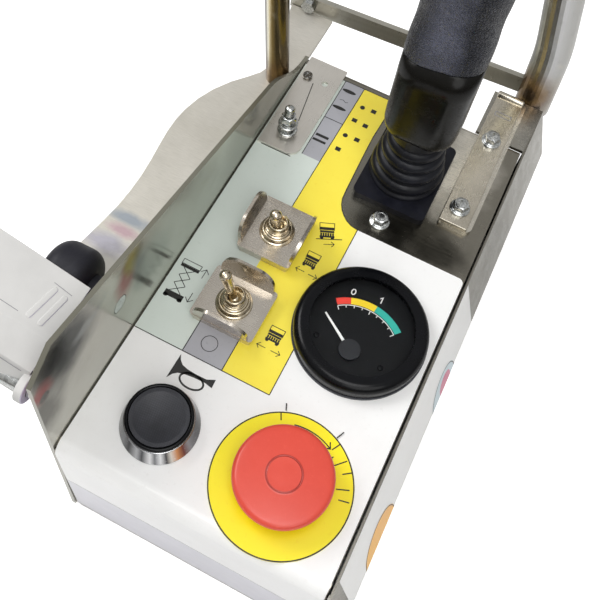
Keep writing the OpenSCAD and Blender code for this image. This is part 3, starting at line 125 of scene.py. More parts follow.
class Surface(Shading):
    """A procedural material: layers of noise change its colour, roughness and bump."""

    def __init__(self, name, colour, rough=0.5, metal=0, **sockets):
        self.mat = bpy.data.materials.new(name)
        super().__init__(self.mat)
        self.shader = self.tree.nodes["Principled BSDF"]
        self.place = self.node("TexCoord").outputs["Object"]
        self.base, self.rough, self.relief = tone(colour), rough, None
        self.set("Metallic", metal)
        for key, value in sockets.items():
            self.set(key.replace("_", " "), value)

    def set(self, socket, value):
        self.feed(self.shader.inputs[socket], value)

    def maths(self, how, *terms):
        return self.node("Math", enumerate(terms), operation=how).outputs[0]

    def vector(self, how, *terms, out="Value"):
        return self.node("VectorMath", enumerate(terms), operation=how).outputs[out]

    def scaled(self, stretch, source=None):
        return self.node("Mapping", {"Vector": source or self.place, "Scale": stretch}).outputs[0]

    def noise(self, size, detail=4, stretch=EVEN):
        """Noise whose features are about size millimetres across."""
        ends = {"Vector": self.scaled(stretch), "Scale": 1 / (size * MM), "Detail": detail, "Roughness": 0.6}
        return self.node("TexNoise", ends).outputs["Fac"]

    def cells(self, size, feature="F1"):
        """Distances in a pattern of cells about size millimetres across."""
        ends = {"Vector": self.place, "Scale": 1 / (size * MM)}
        return self.node("TexVoronoi", ends, feature=feature).outputs["Distance"]

    def facing(self, direction):
        """How far the surface faces a direction, from -1 to 1."""
        return self.vector("DOT_PRODUCT", self.node("NewGeometry").outputs["Normal"], direction)

    def away_from(self, centre):
        """Distance from an upright line through a place on the panel, in metres."""
        return self.vector("DISTANCE", self.scaled((1, 1, 0)), (*P(*centre).xy, 0))

    def ridges(self, direction, pitch):
        """Even ridges across a direction, from 0 to 1, pitch millimetres apart."""
        run = self.vector("DOT_PRODUCT", self.place, direction)
        turns = self.maths("MULTIPLY", run, 2 * math.pi / (pitch * MM))
        return self.between(self.maths("SINE", turns), -1, 1)

    def paint(self, fac, colour, amount=1):
        """Mixes a colour into the base where fac is high."""
        ends = {"Factor": self.maths("MULTIPLY", fac, amount), MIX_FROM: self.base, MIX_TO: tone(colour)}
        self.base = self.node("Mix", ends, data_type="RGBA").outputs[MIX_RESULT]
        return self

    def tint(self, fac, low, high, colour, amount=1):
        """Mixes a colour in as fac goes from low to high."""
        return self.paint(self.between(fac, low, high), colour, amount)

    def reflection_bands(self, stops, direction):
        """Paints reflections: colours by how far the surface faces a direction."""
        self.base = self.ramp(self.between(self.facing(direction), -1, 1), stops)
        return self

    def mottle(self, colour, size, low=0.4, high=0.7, amount=1):
        return self.tint(self.noise(size), low, high, colour, amount)

    def vary(self, size, spread, stretch=EVEN):
        """Varies the roughness by plus or minus spread."""
        shift = self.between(self.noise(size, stretch=stretch), 0.3, 0.7, -spread, spread)
        self.rough = self.maths("ADD", self.rough, shift)
        return self

    def bump(self, fac, height, strength=1):
        """Lays relief on what is there; height is in millimetres."""
        ends = {"Height": fac, "Distance": height * MM, "Strength": strength, "Normal": self.relief}
        self.relief = self.node("Bump", ends).outputs[0]
        return self

    def grit(self, size, detail, height, strength, stretch=EVEN):
        return self.bump(self.noise(size, detail, stretch), height, strength)

    def brushed(self, dark, size, grain, spread=0.06, ridge=None):
        """Fine brushing lines, in colour, roughness and relief."""
        self.tint(self.noise(size, 5, grain), 0.42, 0.7, dark, 0.3)
        return self.vary(9, spread).grit(1.2, 3, 0.02, 0.35, ridge or grain)

    def spots(self, rows):
        """Paints soft patches, as blurred reflections look: place, radius, colour, amount, stretch."""
        for place, radius, colour, amount, stretch in rows:
            off = self.scaled(stretch, self.vector("SUBTRACT", self.place, P(*place), out="Vector"))
            size = self.maths("DIVIDE", self.vector("LENGTH", off), radius * MM)
            wobble = self.between(self.noise(radius * 0.7, 3), 0.2, 0.8, -0.25, 0.25)
            self.tint(self.maths("ADD", size, wobble), 1.05, 0.4, colour, amount)
        return self

    def done(self):
        for socket, value in (("Base Color", self.base), ("Roughness", self.rough), ("Normal", self.relief)):
            self.set(socket, value)
        return self.mat


# -------- materials
# Painted reflections and painted shade of the handle on the bare panel: place, radius, colour, amount,
# stretch.
PANEL_REFLECTIONS_AND_SHADE = [
    ((90, 166, 0), 26, "33312a", 0.85, (1, 1.3, 0)), ((104, 158, 0), 18, "1f1e19", 0.8, (1, 1.6, 0)),
    ((60, 166, 0), 12, "8f8d84", 0.6, (1, 1, 0)), ((93, 212, 0), 25, "ebe6db", 0.95, (1, 0.7, 0)),
    ((78, 225, 0), 16, "6f6c60", 0.6, (1, 1, 0))]
# Painted reflections on the polished side plate: place, radius, colour, amount, stretch.
WING_REFLECTIONS = [
    ((-1, 26, 16), 30, "bab8ad", 0.7, EVEN), ((-1, 22, 57), 24, "14170a", 1, (1, 1, 1.1)),
    ((-1, 3, 34), 15, "3d3a2c", 0.9, (1, 1, 0.7)), ((-1, 6, 51), 8, "8a2218", 1, (1, 1.1, 1)),
    ((-1, 60, 43), 12, "8a2a20", 1, (1, 1.4, 0.9)), ((-1, 66, 52), 10, "9a8a10", 1, (1, 1.3, 1)),
    ((-1, 71, 36), 14, "10201e", 1, (1, 2, 0.7)), ((-1, 80, 30), 18, "4d5a4f", 0.8, EVEN),
    ((-1, 34, 53), 9, "8f9392", 0.6, (1, 0.8, 2.5)), ((-1, 120, 20), 40, "b8bdb1", 0.6, (1, 0.5, 1)),
    ((-1, 176, 14), 30, "8f9186", 0.6, (1, 0.6, 1))]
# Painted reflections on the rail plate: place, radius, colour, amount, stretch.
BRACKET_REFLECTIONS = [
    ((-29, 105, 0), 9, "8d99a8", 0.8, (0.6, 2.2, 1)), ((-29, 98, 0), 7, "b98fa0", 0.7, (0.7, 1.8, 1)),
    ((-31, 89, 0), 10, "a4a2b8", 0.7, (0.6, 1.6, 1)), ((-27, 80, 0), 12, "6d6c69", 0.6, EVEN)]
HEAT_TINTS = [(22, "8b7140", 0.45), (16, "4e2a26", 0.7), (11, "b08f50", 0.5), (8, "2a2220", 0.85)]
CHROME_BANDS = [(0, "1c1c1f"), (0.1, "6f7074"), (0.17, "242427"), (0.27, "b9babd"), (0.34, "4a4b4f"),
                (0.44, "ececee"), (0.5, "77787c"), (0.57, "e4e4e6"), (0.64, "3c3b3e"), (0.7, "d6cfc6"),
                (0.77, "c98a58"), (0.84, "6d2f22"), (0.9, "8b8a8d"), (1, "1c1c1f")]
# Painted reflections round the hoop, by the way it faces: place, colour.
HOOP_REFLECTIONS = [(0, "55544b"), (0.2, "6b6a60"), (0.38, "8d8b7f"), (0.47, "a8976a"), (0.52, "c9b98c"),
              (0.58, "6d6c66"), (0.66, "9a9a98"), (0.8, "c4c4c4"), (1, "b5b4b0")]
# Painted reflections round the rod, by the way it faces: place, colour.
ROD_REFLECTIONS = [(0, "8c8a96"), (0.25, "6f6d78"), (0.42, "9c9a92"), (0.52, "fbf6e4"), (0.6, "d9cba6"),
             (0.72, "8b7748"), (0.86, "554a34"), (1, "6b5e44")]


def panel_metal():
    """Bare panel: brushed zinc with painted reflections, dark and light, and painted shade of the handle
    above it.
    """
    s = Surface("panel zinc", "8a867c", 0.24, 1).spots(PANEL_REFLECTIONS_AND_SHADE)
    return s.brushed("78746a", 2.4, (0.4, 8, 1)).done()


def sheet_metal(name, colour, dark, rough=0.28, grain=(1, 14, 1), size=3):
    """Brushed sheet, with a painted highlight along its edges."""
    s = Surface(name, colour, rough, 1).mottle(dark, 26, 0.35, 0.75, 0.4)
    s.brushed(dark, size, grain, 0.08).vary(1.5, 0.05, grain)
    # Painted highlight where the edges are sharp.
    return s.tint(s.node("NewGeometry").outputs["Pointiness"], 0.55, 0.61, "e8e6df", 0.35).done()


def mirror_plate():
    """Polished side plate: painted reflections, blurred dark and coloured patches of what stands near, and
    painted shade on its edges.
    """
    s = Surface("polished plate", "c4c2b8", 0.2, 0.7).mottle("8d8b7e", 34, 0.35, 0.7, 0.6).spots(WING_REFLECTIONS)
    s.tint(s.noise(2.5, 4, (1, 1, 30)), 0.5, 0.75, "77756a", 0.2)
    # Painted shade on the edges, where the plate does not face sideways.
    s.tint(s.maths("ABSOLUTE", s.facing((1, 0, 0))), 0.8, 0.5, "8a887b", 0.9)
    s.vary(14, 0.05).grit(22, 2, 0.1, 0.2).grit(1.4, 3, 0.004, 0.3, (1, 20, 1))
    return s.done()


def bracket_plate():
    """Brushed plate with painted reflections near its middle: faint coloured bands and a darker patch."""
    s = Surface("rail plate", "d8d4cb", 0.4, 0.55).mottle("c0bcb1", 30, 0.35, 0.7, 0.6).spots(BRACKET_REFLECTIONS)
    return s.brushed("9c988d", 2.2, (0.4, 8, 1), ridge=(1, 10, 1)).done()


def tube_finish(name, stops, direction, foot):
    """Polished tube: painted reflections run along it in bands, with heat tints from the weld at its foot."""
    s = Surface(name, "c4c1b6", 0.2, 0.75).reflection_bands(stops, direction)
    s.mottle("e6dfcc", 8, 0.55, 0.75, 0.25).mottle("4b4a42", 5, 0.6, 0.75, 0.25)
    s.spots([(foot, *tint, EVEN) for tint in HEAT_TINTS])
    return s.vary(6, 0.06).grit(0.8, 3, 0.01, 0.4, (1, 1, 0.1)).done()


def zinc(name, colour, dark, rough):
    """Bright zinc plate with the crystal patches it shows close up."""
    s = Surface(name, colour, rough, 1)
    s.tint(s.cells(1.3), 0.2, 0.8, dark, 0.6)
    s.mottle("f2f4f3", 0.9, 0.5, 0.65, 0.7).mottle("57595b", 1.6, 0.55, 0.72, 0.5)
    return s.vary(1, 0.1).grit(0.6, 4, 0.05, 0.5).done()


def pin_metal():
    """Plated rod whose end, flush in the side plate, is painted dark like the plate's painted reflection
    around it.
    """
    s = Surface("socket pin", "c9cbc9", 0.2, 1).mottle("5b5d5f", 2, 0.45, 0.7, 0.6)
    # Painted reflection: the end that faces out of the side plate is dark like the plate around it.
    s.tint(s.facing((1, 0, 0)), 0.9, 0.95, "453f35")
    return s.vary(1, 0.1).grit(0.6, 4, 0.04, 0.5).done()


def nickel():
    s = Surface("nickel", "d6cab2", 0.2, 1).mottle("7a6c55", 5, 0.42, 0.75, 0.6)
    return s.mottle("f5ecd8", 2, 0.55, 0.7, 0.6).vary(1.5, 0.08).grit(0.5, 3, 0.02, 0.4).done()


def chrome():
    """Chrome ring: bright and near-black bands round it, as a room mirrors in a cone."""
    s = Surface("skirt chrome", "c6c7ca", 0.13, 1).reflection_bands(CHROME_BANDS, (0.9, 0.42, 0.1))
    return s.mottle("f4f4f5", 1.2, 0.62, 0.75, 0.5).vary(1.5, 0.06).grit(0.4, 3, 0.02, 0.4).done()


def plastic(name, colour, second, rough=0.42, grain=0.5, height=0.03, **sockets):
    s = Surface(name, colour, rough, 0, **sockets)
    s.mottle(second, 14, 0.35, 0.7, 0.6).mottle(second, 1.1, 0.5, 0.75, 0.35)
    return s.vary(6, 0.07).vary(0.8, 0.04).grit(grain, 3, height, 0.5).done()


def hood_plastic():
    """Light grey plastic, with painted shade: lilac grey on the side that faces the plate and grey on the
    faces that face forward.
    """
    s = Surface("hood grey", "d3d2d0", 0.5).mottle("c7c6c4", 14, 0.35, 0.7, 0.6)
    # Painted shade, lilac grey, on the side that faces the plate.
    s.tint(s.facing((1, 0, 0)), 0.45, 0.75, "b3abc4", 0.85)
    # Painted shade, grey, on the faces that face forward.
    s.tint(s.facing((0, 1, 0)), -0.6, -0.9, "b9b9b7", 0.5)
    return s.vary(6, 0.07).grit(0.6, 3, 0.03, 0.5).done()


def leather():
    """Moulded leather grain: small raised cells with painted shade in the creases, and a painted highlight
    down the left side.
    """
    s = Surface("grip leather", "11131a", 0.32, Specular_IOR_Level=0.34, Specular_Tint=(0.82, 0.86, 1, 1))
    # Painted highlight: a lighter band where the grip turns to the left.
    side = s.facing((-0.893, -0.439, 0.1))
    s.paint(s.maths("MULTIPLY", s.between(side, 0, 0.45), s.between(side, 0.95, 0.5)), "6a6d7f", 0.8)
    # Painted shade in the creases: darker near the cells' edges, lighter on their tops.
    edge = s.cells(1.15, "DISTANCE_TO_EDGE")
    s.tint(edge, 0.1, 0.45, "2e313f", 0.55).mottle("101015", 18, 0.4, 0.7, 0.5).vary(3, 0.08)
    return s.bump(s.between(edge, 0, 0.3), 0.4).grit(0.3, 2, 0.03, 0.5).done()


def rubber(name, colour, light):
    s = Surface(name, colour, 0.38, Specular_IOR_Level=0.24)
    s.mottle(light, 9, 0.4, 0.72, 0.7).mottle("0d0e12", 2, 0.5, 0.7, 0.4)
    return s.vary(4, 0.1).grit(0.7, 4, 0.04, 0.5).done()


def woven_cap():
    """Black rubber cap with a fine woven texture moulded into it."""
    s = Surface("horn cap black", "25262c")
    weave = s.maths("MULTIPLY", s.ridges((1, 1, 0), 0.9), s.ridges((1, -1, 0), 0.9))
    return s.paint(weave, "4a4c57", 0.45).mottle("15161a", 6, 0.4, 0.7, 0.5).bump(weave, 0.05, 0.7).done()


def red_head():
    """Moulded red head, with painted shade along the groove of the fine ring in its middle."""
    s = Surface("mushroom red", "db4b3a", 0.36, Coat_Weight=0.12, Coat_Roughness=0.2)
    s.mottle("cf4031", 20, 0.4, 0.7, 0.5).mottle("e65c49", 1.4, 0.55, 0.75, 0.3)
    # Painted shade in the groove of the fine ring.
    off_ring = s.maths("ABSOLUTE", s.maths("SUBTRACT", s.away_from(STOP), 7.1 * MM))
    s.tint(off_ring, 0.55 * MM, 0.4 * MM, "8f1f18", 0.7)
    return s.vary(3, 0.05).grit(0.8, 3, 0.02, 0.5).done()


def needle_paint():
    """White pointer with a black hub, told apart by their distance from the spindle."""
    s = Surface("needle", "f1f1ee", 0.4).mottle("d9d9d4", 3, 0.5, 0.7, 0.4)
    return s.tint(s.away_from(HUB), 5 * MM, 4.9 * MM, "1b1c20").done()


def printed(name, colour, second, rough=0.34):
    """A printed decal: faint stains, tiny specks and the orange peel of its film."""
    s = Surface(name, colour, rough, Coat_Weight=0.35, Coat_Roughness=0.18)
    s.mottle(second, 38, 0.42, 0.75, 0.6).mottle(second, 2.2, 0.6, 0.72, 0.5)
    return s.vary(12, 0.06).grit(2.4, 2, 0.02, 0.35).done()


PRINTS = {
    "white": ("f4f4f3", "e9e8e6"),
    "yellow": ("fdea4c", "f6dc3c"),
    # Printed green grey, set lighter than the print itself as painted light against the side plate's shadow
    # over it.
    "green_grey": ("d6dfd8", "cbd5cd"),
    "lilac_grey": ("acacb2", "98999f"),
    # The front face's white decal, in a lilac grey that is painted shade.
    "front_white_painted_shade": ("cfced7", "c3c2cc"),
    "ink": ("100f0c", "1d1c18", 0.4),
    "stop_disc": ("fdee0a", "f6df04"),
    "dial_red": ("ea4335", "d93a2c"),
    "dial_yellow": ("f2d32c", "e3c21f"),
    "dial_teal": ("2fb0a0", "25a090"),
    "dial_white": ("ecebe7", "dcdbd7"),
    "orange": ("ffb90a", "f5a208"),
    "blue": ("cfdfe6", "b7ccd8"),
    "pink": ("d8648a", "c2557a"),
}
MATS = {
    "housing_shell": panel_metal(),
    "base_cover": sheet_metal("cover zinc", "b2b2b5", "8e8e92", 0.4),
    "left_wing": mirror_plate(),
    "corner_plate": sheet_metal("bright plate", "e0dad2", "bcb5ac", 0.34, (14, 1, 1)),
    "strip_spacer": sheet_metal("strip plate", "d6cfc1", "989281", 0.24, (8, 0.4, 1), 2.4),
    "bracket_plate": bracket_plate(),
    "right_cheek": sheet_metal("cheek zinc", "676256", "3b372c", 0.28, (1, 10, 1)),
    "rear_crossbar": sheet_metal("bar steel", "a5a294", "6f6d62", 0.34, (12, 1, 1)),
    "guard_hoop": tube_finish("hoop steel", HOOP_REFLECTIONS, (0.9, -0.3, 0.1), HOOP_FOOT),
    "left_rod": tube_finish("rod steel", ROD_REFLECTIONS, (0.9, -0.42, 0), ROD_FOOT),
    "zinc_screw": zinc("screw zinc", "c9cbc9", "7e8285", 0.22),
    "socket_pin": pin_metal(),
    "corner_screw": zinc("screw dark", "6b655c", "3a3733", 0.35),
    "nickel": nickel(),
    "guard": sheet_metal("guard sheet", "beb3a5", "9c9082", 0.25, (0.35, 9, 1), 2.4),
    "case": plastic("switch case", "3c3e44", "2a2b30"),
    "black_plastic": plastic("black plastic", "232429", "15161a"),
    "boot": rubber("boot rubber", "0e0f15", "1c1e27"),
    "boot_flange": rubber("flange rubber", "0f1017", "1d1e28"),
    "collar": plastic("collar black", "0a0907", "12110c", 0.24, 2, 0.008, Specular_IOR_Level=0.2),
    "grip": leather(),
    "trigger": plastic("trigger black", "141417", "222227", 0.36),
    "gauge_bezel": plastic("bezel black", "07080a", "0d0e13", 0.24, 0.4, 0.012,
                           Specular_IOR_Level=0.16, Coat_Weight=0.05),
    "gauge_dial": plastic("dial black", "0a0b0c", "121316", 0.5, 0.3, Specular_IOR_Level=0.2),
    "skirt": chrome(),
    "contact": plastic("contact grey", "7d8086", "5f6268"),
    "hood": hood_plastic(),
    "seam_grey": plastic("seam grey", "8f8e92", "7d7c80", 0.6),
    "socket_body": plastic("body cream", "d8d5c6", "c5c1b0", 0.5),
    "clamp_knob": plastic("knob black", "17171f", "22222d", 0.55, 0.5, 0.04, Specular_IOR_Level=0.35),
    "gauge_glass": Surface("gauge glass", "f4f8fa", 0.04, Transmission_Weight=1, IOR=1.02,
                           Alpha=0.25).vary(5, 0.02).done(),
    "gauge_needle": needle_paint(),
    "mushroom": red_head(),
    "horn_cap": woven_cap(),
    **{key: printed("print " + key, *look) for key, look in PRINTS.items()},
}
# A finish is named after the source's node that has it. These are shared by several nodes. Nodes
# that a finer piece replaces have none.
SHARED = {
    "zinc_screw": "base_screws bracket_bolt pivot_pin joystick_shaft knob_stud gauge_clamp",
    "case": "joystick_yoke position_sensor gauge_case",
    "trigger": "enable_trigger thumb_rocker",
    "guard": "front_guard rear_guard front_guard_spacer rear_guard_spacer",
    "nickel": "front_lever rear_lever",
    "contact": "horn_contact stop_contact",
    "black_plastic": "stop_body stop_plunger socket_insert",
}


def dress_nodes():
    shared = {name: key for key, names in SHARED.items() for name in names.split()}
    for name, node in NODES.items():
        finish = MATS.get(shared.get(name, name))
        for slot in node.material_slots if finish else ():
            slot.material = finish


# -------- meshes
def add_object(name, data):
    made = bpy.data.objects.new(name, data)
    bpy.context.collection.objects.link(made)
    return made


def add_mesh(name, bm):
    """Turns a bmesh into an object of the scene."""
    mesh = bpy.data.meshes.new(name)
    bm.normal_update()
    bm.to_mesh(mesh)
    bm.free()
    return add_object(name, mesh)


def shade_smooth(piece):
    mesh = piece.data
    mesh.polygons.foreach_set("use_smooth", [True] * len(mesh.polygons))


def new_piece(name, bm, materials, body="housing", smooth=True):
    """Turns a bmesh into a piece that rides on a body; materials are names, parted by spaces."""
    piece = add_mesh(name, bm)
    for key in materials.split():
        piece.data.materials.append(MATS[key])
    if smooth:
        shade_smooth(piece)
    if body:
        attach(piece, body)
    return piece


def soften(piece, width, segments, angle):
    """Rounds the edges of a piece."""
    bevel = piece.modifiers.new("round", "BEVEL")
    bevel.width, bevel.segments, bevel.limit_method = width * MM, segments, "ANGLE"
    bevel.angle_limit = math.radians(angle)
    bevel.harden_normals = True


def swap(node, name, bm, materials, body="housing", edge=None, smooth=True):
    """Makes a piece that takes a node's place; edge is soften's width, segments and angle."""
    piece = new_piece(name, bm, materials, body, smooth)
    if edge:
        soften(piece, *edge)
    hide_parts(node)


def polar(centre, radius, degrees, squash=1):
    """A point at a radius and an angle from a centre, squashed in y."""
    a = math.radians(degrees)
    return centre[0] + radius * math.cos(a), centre[1] + radius * squash * math.sin(a)


def arc(centre, radius, start, end, steps):
    return [polar(centre, radius, start + (end - start) * i / steps) for i in range(steps + 1)]


def oval(centre, rx, ry, steps):
    return [polar(centre, rx, 360 * i / steps, ry / rx) for i in range(steps)]


def box_points(x0, y0, x1, y1):
    return [(x0, y0), (x1, y0), (x1, y1), (x0, y1)]


def loft(bm, rings, material=0, close=False, ends=(True, True)):
    """Joins rings of points, in millimetres. Closes the ends, or joins the last ring to the first."""
    made = [[bm.verts.new(P(*p)) for p in ring] for ring in rings]
    faces = []
    for low, high in zip(made, made[1:] + made[:1] if close else made[1:]):
        for i in range(len(low)):
            j = (i + 1) % len(low)
            faces.append((low[i], low[j], high[j], high[i]))
    if not close:
        faces += [ring for ring, wanted in zip((made[0][::-1], made[-1]), ends) if wanted]
    for face in faces:
        bm.faces.new(face).material_index = material


def lathe(bm, profile, centre, steps=64, axis=(0, 0, 1), material=0, close=False):
    """Turns a profile of (radius, height) about an axis through centre, in millimetres."""
    turn = Vector((0, 0, 1)).rotation_difference(Vector(axis)).to_matrix()
    rings = [[Vector(centre) + turn @ Vector((*polar((0, 0), radius, 360 * i / steps), height))
              for i in range(steps)] for radius, height in profile]
    loft(bm, rings, material, close, [profile[i][0] > 0.01 for i in (0, -1)])
    bmesh.ops.remove_doubles(bm, verts=bm.verts, dist=1e-7)


def rounded_ring(centre, w, l, r, z, steps=4):
    """A ring of a rounded rectangle; z is a height or a function of x and y."""
    ring = []
    for k, (sx, sy) in enumerate(((1, 1), (-1, 1), (-1, -1), (1, -1))):
        corner = centre[0] + sx * (w / 2 - r), centre[1] + sy * (l / 2 - r)
        for x, y in arc(corner, r, 90 * k, 90 * k + 90, steps):
            ring.append((x, y, z(x, y) if callable(z) else z))
    return ring


def tiers(centre, w, l, rows, steps=4):
    """Rings of a rounded rectangle: rows are (more width, more length, corner radius, height)."""
    return [rounded_ring(centre, w + dw, l + dl, r, z, steps) for dw, dl, r, z in rows]


NUT_ACROSS = 6.93


def hex_ring(centre, z, limit, steps=48):
    """A ring of a hexagon whose corners are cut back to a radius."""
    ring = []
    for i in range(steps):
        degrees = 360 * i / steps
        r = min(NUT_ACROSS / 2 / math.cos(math.radians(degrees % 60 - 30)), limit)
        ring.append((*polar(centre, r, degrees), z))
    return ring


def hex_nut(bm, centre, z, height):
    """A chamfered hexagon; centre is its place on the panel, z its underside."""
    full, cut = NUT_ACROSS / 2 / math.cos(math.pi / 6), NUT_ACROSS * 0.49
    levels = ((0, cut), (0.35, full), (height - 0.45, full), (height, cut))
    loft(bm, [hex_ring(centre, z + rise, limit) for rise, limit in levels])


# -------- decals
INK = 0.16  # the usual height of a printed line above the metal
BEND_CUTS = [BEND_R - BEND_R * math.pi / 2 * i / 10 for i in range(11)]
FLANK_CUT = 33.64  # where the flank's slope ends, measured along it


def on_top(u, v, lift):
    """Wraps a flat decal over the front bend: v runs back along the panel from its front."""
    if v >= BEND_R:
        return P(u, v, lift)
    past = BEND_R - v
    turn = past / BEND_R
    r = BEND_R + lift
    if turn < math.pi / 2:
        return P(u, BEND_R - r * math.sin(turn), -BEND_R + r * math.cos(turn))
    return P(u, -lift, -BEND_R - (past - BEND_R * math.pi / 2))


def on_disc(u, v, lift):
    """Keeps a decal flat, as on the stop disc, which stands out over the front bend."""
    return P(u, v, lift)


def on_flank(u, v, lift):
    """Wraps a flat decal over the right plate: v runs down its flank from the panel's edge."""
    run = FLANK_SIDE_X - FLANK_TOP_X
    slope = math.hypot(run, FLANK_DROP)
    t = v / slope
    if t < 1:
        return P(FLANK_TOP_X + run * t + lift * FLANK_DROP / slope, u, -FLANK_DROP * t + lift * run / slope)
    return P(FLANK_SIDE_X + lift, u, -FLANK_DROP - (v - slope))


def decal(bm, shape, lift=INK, wrap=on_top):
    """Adds a flat shape, cut finely where it bends, at lift millimetres above its surface."""
    flat = bmesh.new()
    flat.faces.new([flat.verts.new((u, v, 0)) for u, v in shape])
    flat.normal_update()
    bmesh.ops.triangulate(flat, faces=flat.faces)
    for cut in BEND_CUTS if wrap is on_top else [FLANK_CUT]:
        parts = flat.verts[:] + flat.edges[:] + flat.faces[:]
        bmesh.ops.bisect_plane(flat, geom=parts, plane_co=(0, cut, 0), plane_no=(0, 1, 0))
    flat.verts.index_update()
    copies = [bm.verts.new(wrap(v.co.x, v.co.y, lift)) for v in flat.verts]
    for face in flat.faces:
        corners = [copies[v.index] for v in face.verts]
        if (face.normal.z < 0) != (wrap is on_flank):
            corners.reverse()
        bm.faces.new(corners)
    flat.free()


def stroke(bm, points, width, lift=INK, closed=False, wrap=on_top):
    """Adds a line of even width through the points, with mitred corners."""
    points = [Vector(p) for p in points]
    count = len(points)
    sides = []
    for i, at in enumerate(points):
        back = at - points[i - 1] if i or closed else None
        ahead = points[(i + 1) % count] - at if i + 1 < count or closed else None
        ways = [way.normalized() for way in (back, ahead) if way]
        along = sum(ways, Vector((0, 0))).normalized()
        side = Vector((-along.y, along.x)) * width / 2 / max(along.dot(ways[0]), 0.5)
        sides.append((at + side, at - side))
    for here, there in zip(sides, sides[1:] + sides[:1] if closed else sides[1:]):
        decal(bm, (here[1], there[1], there[0], here[0]), lift, wrap)


def arrow_head(bm, before, tip, long, half, width, lift=INK + 0.02, wrap=on_top):
    """Adds the two short strokes at the tip of a line that comes from before."""
    before, tip = Vector(before), Vector(tip)
    along = (tip - before).normalized()
    side = Vector((-along.y, along.x))
    foot = tip - along * long
    stroke(bm, [foot + side * half, tip, foot - side * half], width, lift, wrap=wrap)


def arrow(bm, a, b, head=1.9):
    stroke(bm, [a, b], 0.32)
    arrow_head(bm, a, b, head, head, 0.32)


def sheet(name, material, *parts, wrap=on_top):
    """Makes a printed piece of flat shapes, each given with its height."""
    bm = bmesh.new()
    for shape, lift in parts:
        decal(bm, shape, lift, wrap)
    new_piece(name, bm, material, smooth=False)


def lines(name, material, *parts, wrap=on_top, body="housing"):
    """Makes a printed piece of lines, each given as stroke's points, width, height and closed."""
    bm = bmesh.new()
    for part in parts:
        stroke(bm, *part, wrap=wrap)
    new_piece(name, bm, material, body, smooth=False)


FRONT_LIP = -42
FRONT_FOOT = -84
ZONE_Y = 60.6
STICK_EDGE = [(66.2, 151.8), (62.6, 152.4), (59.6, 153.9), (57.2, 155.9), (55.2, 158.2), (53.6, 161),
              (52.6, 164.2), (52.2, 170), (51.4, 190), (51, 205), (51.6, 219), (51.8, 231)]
WHITE_SHAPE = ([(0.7, FRONT_LIP), (120.9, FRONT_LIP), (120.9, 149.2)]
               + arc((118.3, 149.2), 2.6, 0, 90, 6) + STICK_EDGE + [(0.7, 231)])
YELLOW_SHAPE = [(43.4, ZONE_Y), (66.2, ZONE_Y)] + STICK_EDGE + [(34.7, 231), (34, 188),
                                                               (33.4, 147), (33.4, 104), (43.4, 104)]
GREEN_SHAPE = [(0.7, ZONE_Y), (24.3, ZONE_Y), (24.3, 104), (33.4, 104), (33.4, 147), (34, 188),
               (24, 188), (24, 231), (0.7, 231)]
SQUARE_SHAPE = [(24.3, ZONE_Y), (43.4, ZONE_Y), (43.4, 104), (24.3, 104)]
STRIP_SHAPE = [(24, 178), (34, 178), (34.7, 231), (24, 231)]


def decal_sheets():
    """The printed fields of the panel and the front bend, and the band below them: the front face's white
    decal, printed lilac grey as painted shade.
    """
    band = box_points(0.7, FRONT_FOOT, 120.9, FRONT_LIP - 0.35)
    # The front face's white decal, in a lilac grey that is painted shade.
    sheet("decal_front_white_painted_shade", "front_white_painted_shade", (band, 0.06))
    sheet("decal_white", "white", (WHITE_SHAPE, 0.06))
    sheet("decal_yellow", "yellow", (YELLOW_SHAPE, 0.1))
    sheet("decal_green_grey", "green_grey", (GREEN_SHAPE, 0.1))
    sheet("decal_lilac_grey", "lilac_grey", (SQUARE_SHAPE, 0.1), (STRIP_SHAPE, 0.12))


def machine(bm, x, y, w, h, turn=0):
    """A plain sign of a wheeled platform: an open frame above a dark base on wheels."""
    spin = Matrix.Rotation(math.radians(turn), 2)

    def at(points):
        return [Vector((x, y)) + spin @ Vector((px * w, py * h)) for px, py in points]

    stroke(bm, at(box_points(0, 0.72, 1, 1)), 0.34, closed=True)
    decal(bm, at(box_points(-0.02, 0.56, 1.02, 0.71)))
    decal(bm, at(box_points(0.02, 0.40, 0.98, 0.53)))
    for i in range(6):
        left = 0.04 + 0.16 * i
        decal(bm, at(box_points(left, 0.14, left + 0.12, 0.38)))
    decal(bm, at(box_points(0, 0.10, 1, 0.20)), INK + 0.02)
    for wheel in (0.14, 0.86):
        decal(bm, at(oval((wheel, 0.08), 0.12, 0.1, 12)), INK + 0.04)


def lift_sign(bm):
    """A scissor lift with its platform, base and wheels, and arrows up and down."""
    left, right, low, step = 4.8, 10.4, 82.7, 4.35
    stroke(bm, box_points(3.1, 97.2, 12.2, 99.5), 0.32, closed=True)
    decal(bm, box_points(3.1, 95.6, 12.2, 97))
    for i in range(3):
        for a, b in ((left, right), (right, left)):
            stroke(bm, [(a, low + i * step), (b, low + (i + 1) * step)], 0.36)
    decal(bm, box_points(3.4, 79.9, 12.4, 82.7))
    for x in (4.4, 11.3):
        decal(bm, oval((x, 80.1), 1.2, 0.9, 14))
    arrow(bm, (14.7, 94.3), (14.7, 99.2))
    arrow(bm, (14.8, 86.2), (14.8, 81.2))


def horn_sign(bm):
    upper = [(24.7, 59), (25.9, 56.6), (27.8, 55), (30.6, 54.3), (34.5, 54), (39.8, 54.1), (43.3, 55.8)]
    lower = [(43.5, 51.8), (39.8, 52.5), (34.5, 52.3), (30.4, 51.8), (27.6, 51), (25.9, 49.6), (24.4, 47)]
    decal(bm, upper + lower)
    stroke(bm, oval((34.6, 50.4), 5.4, 3.2, 36), 0.85, closed=True)


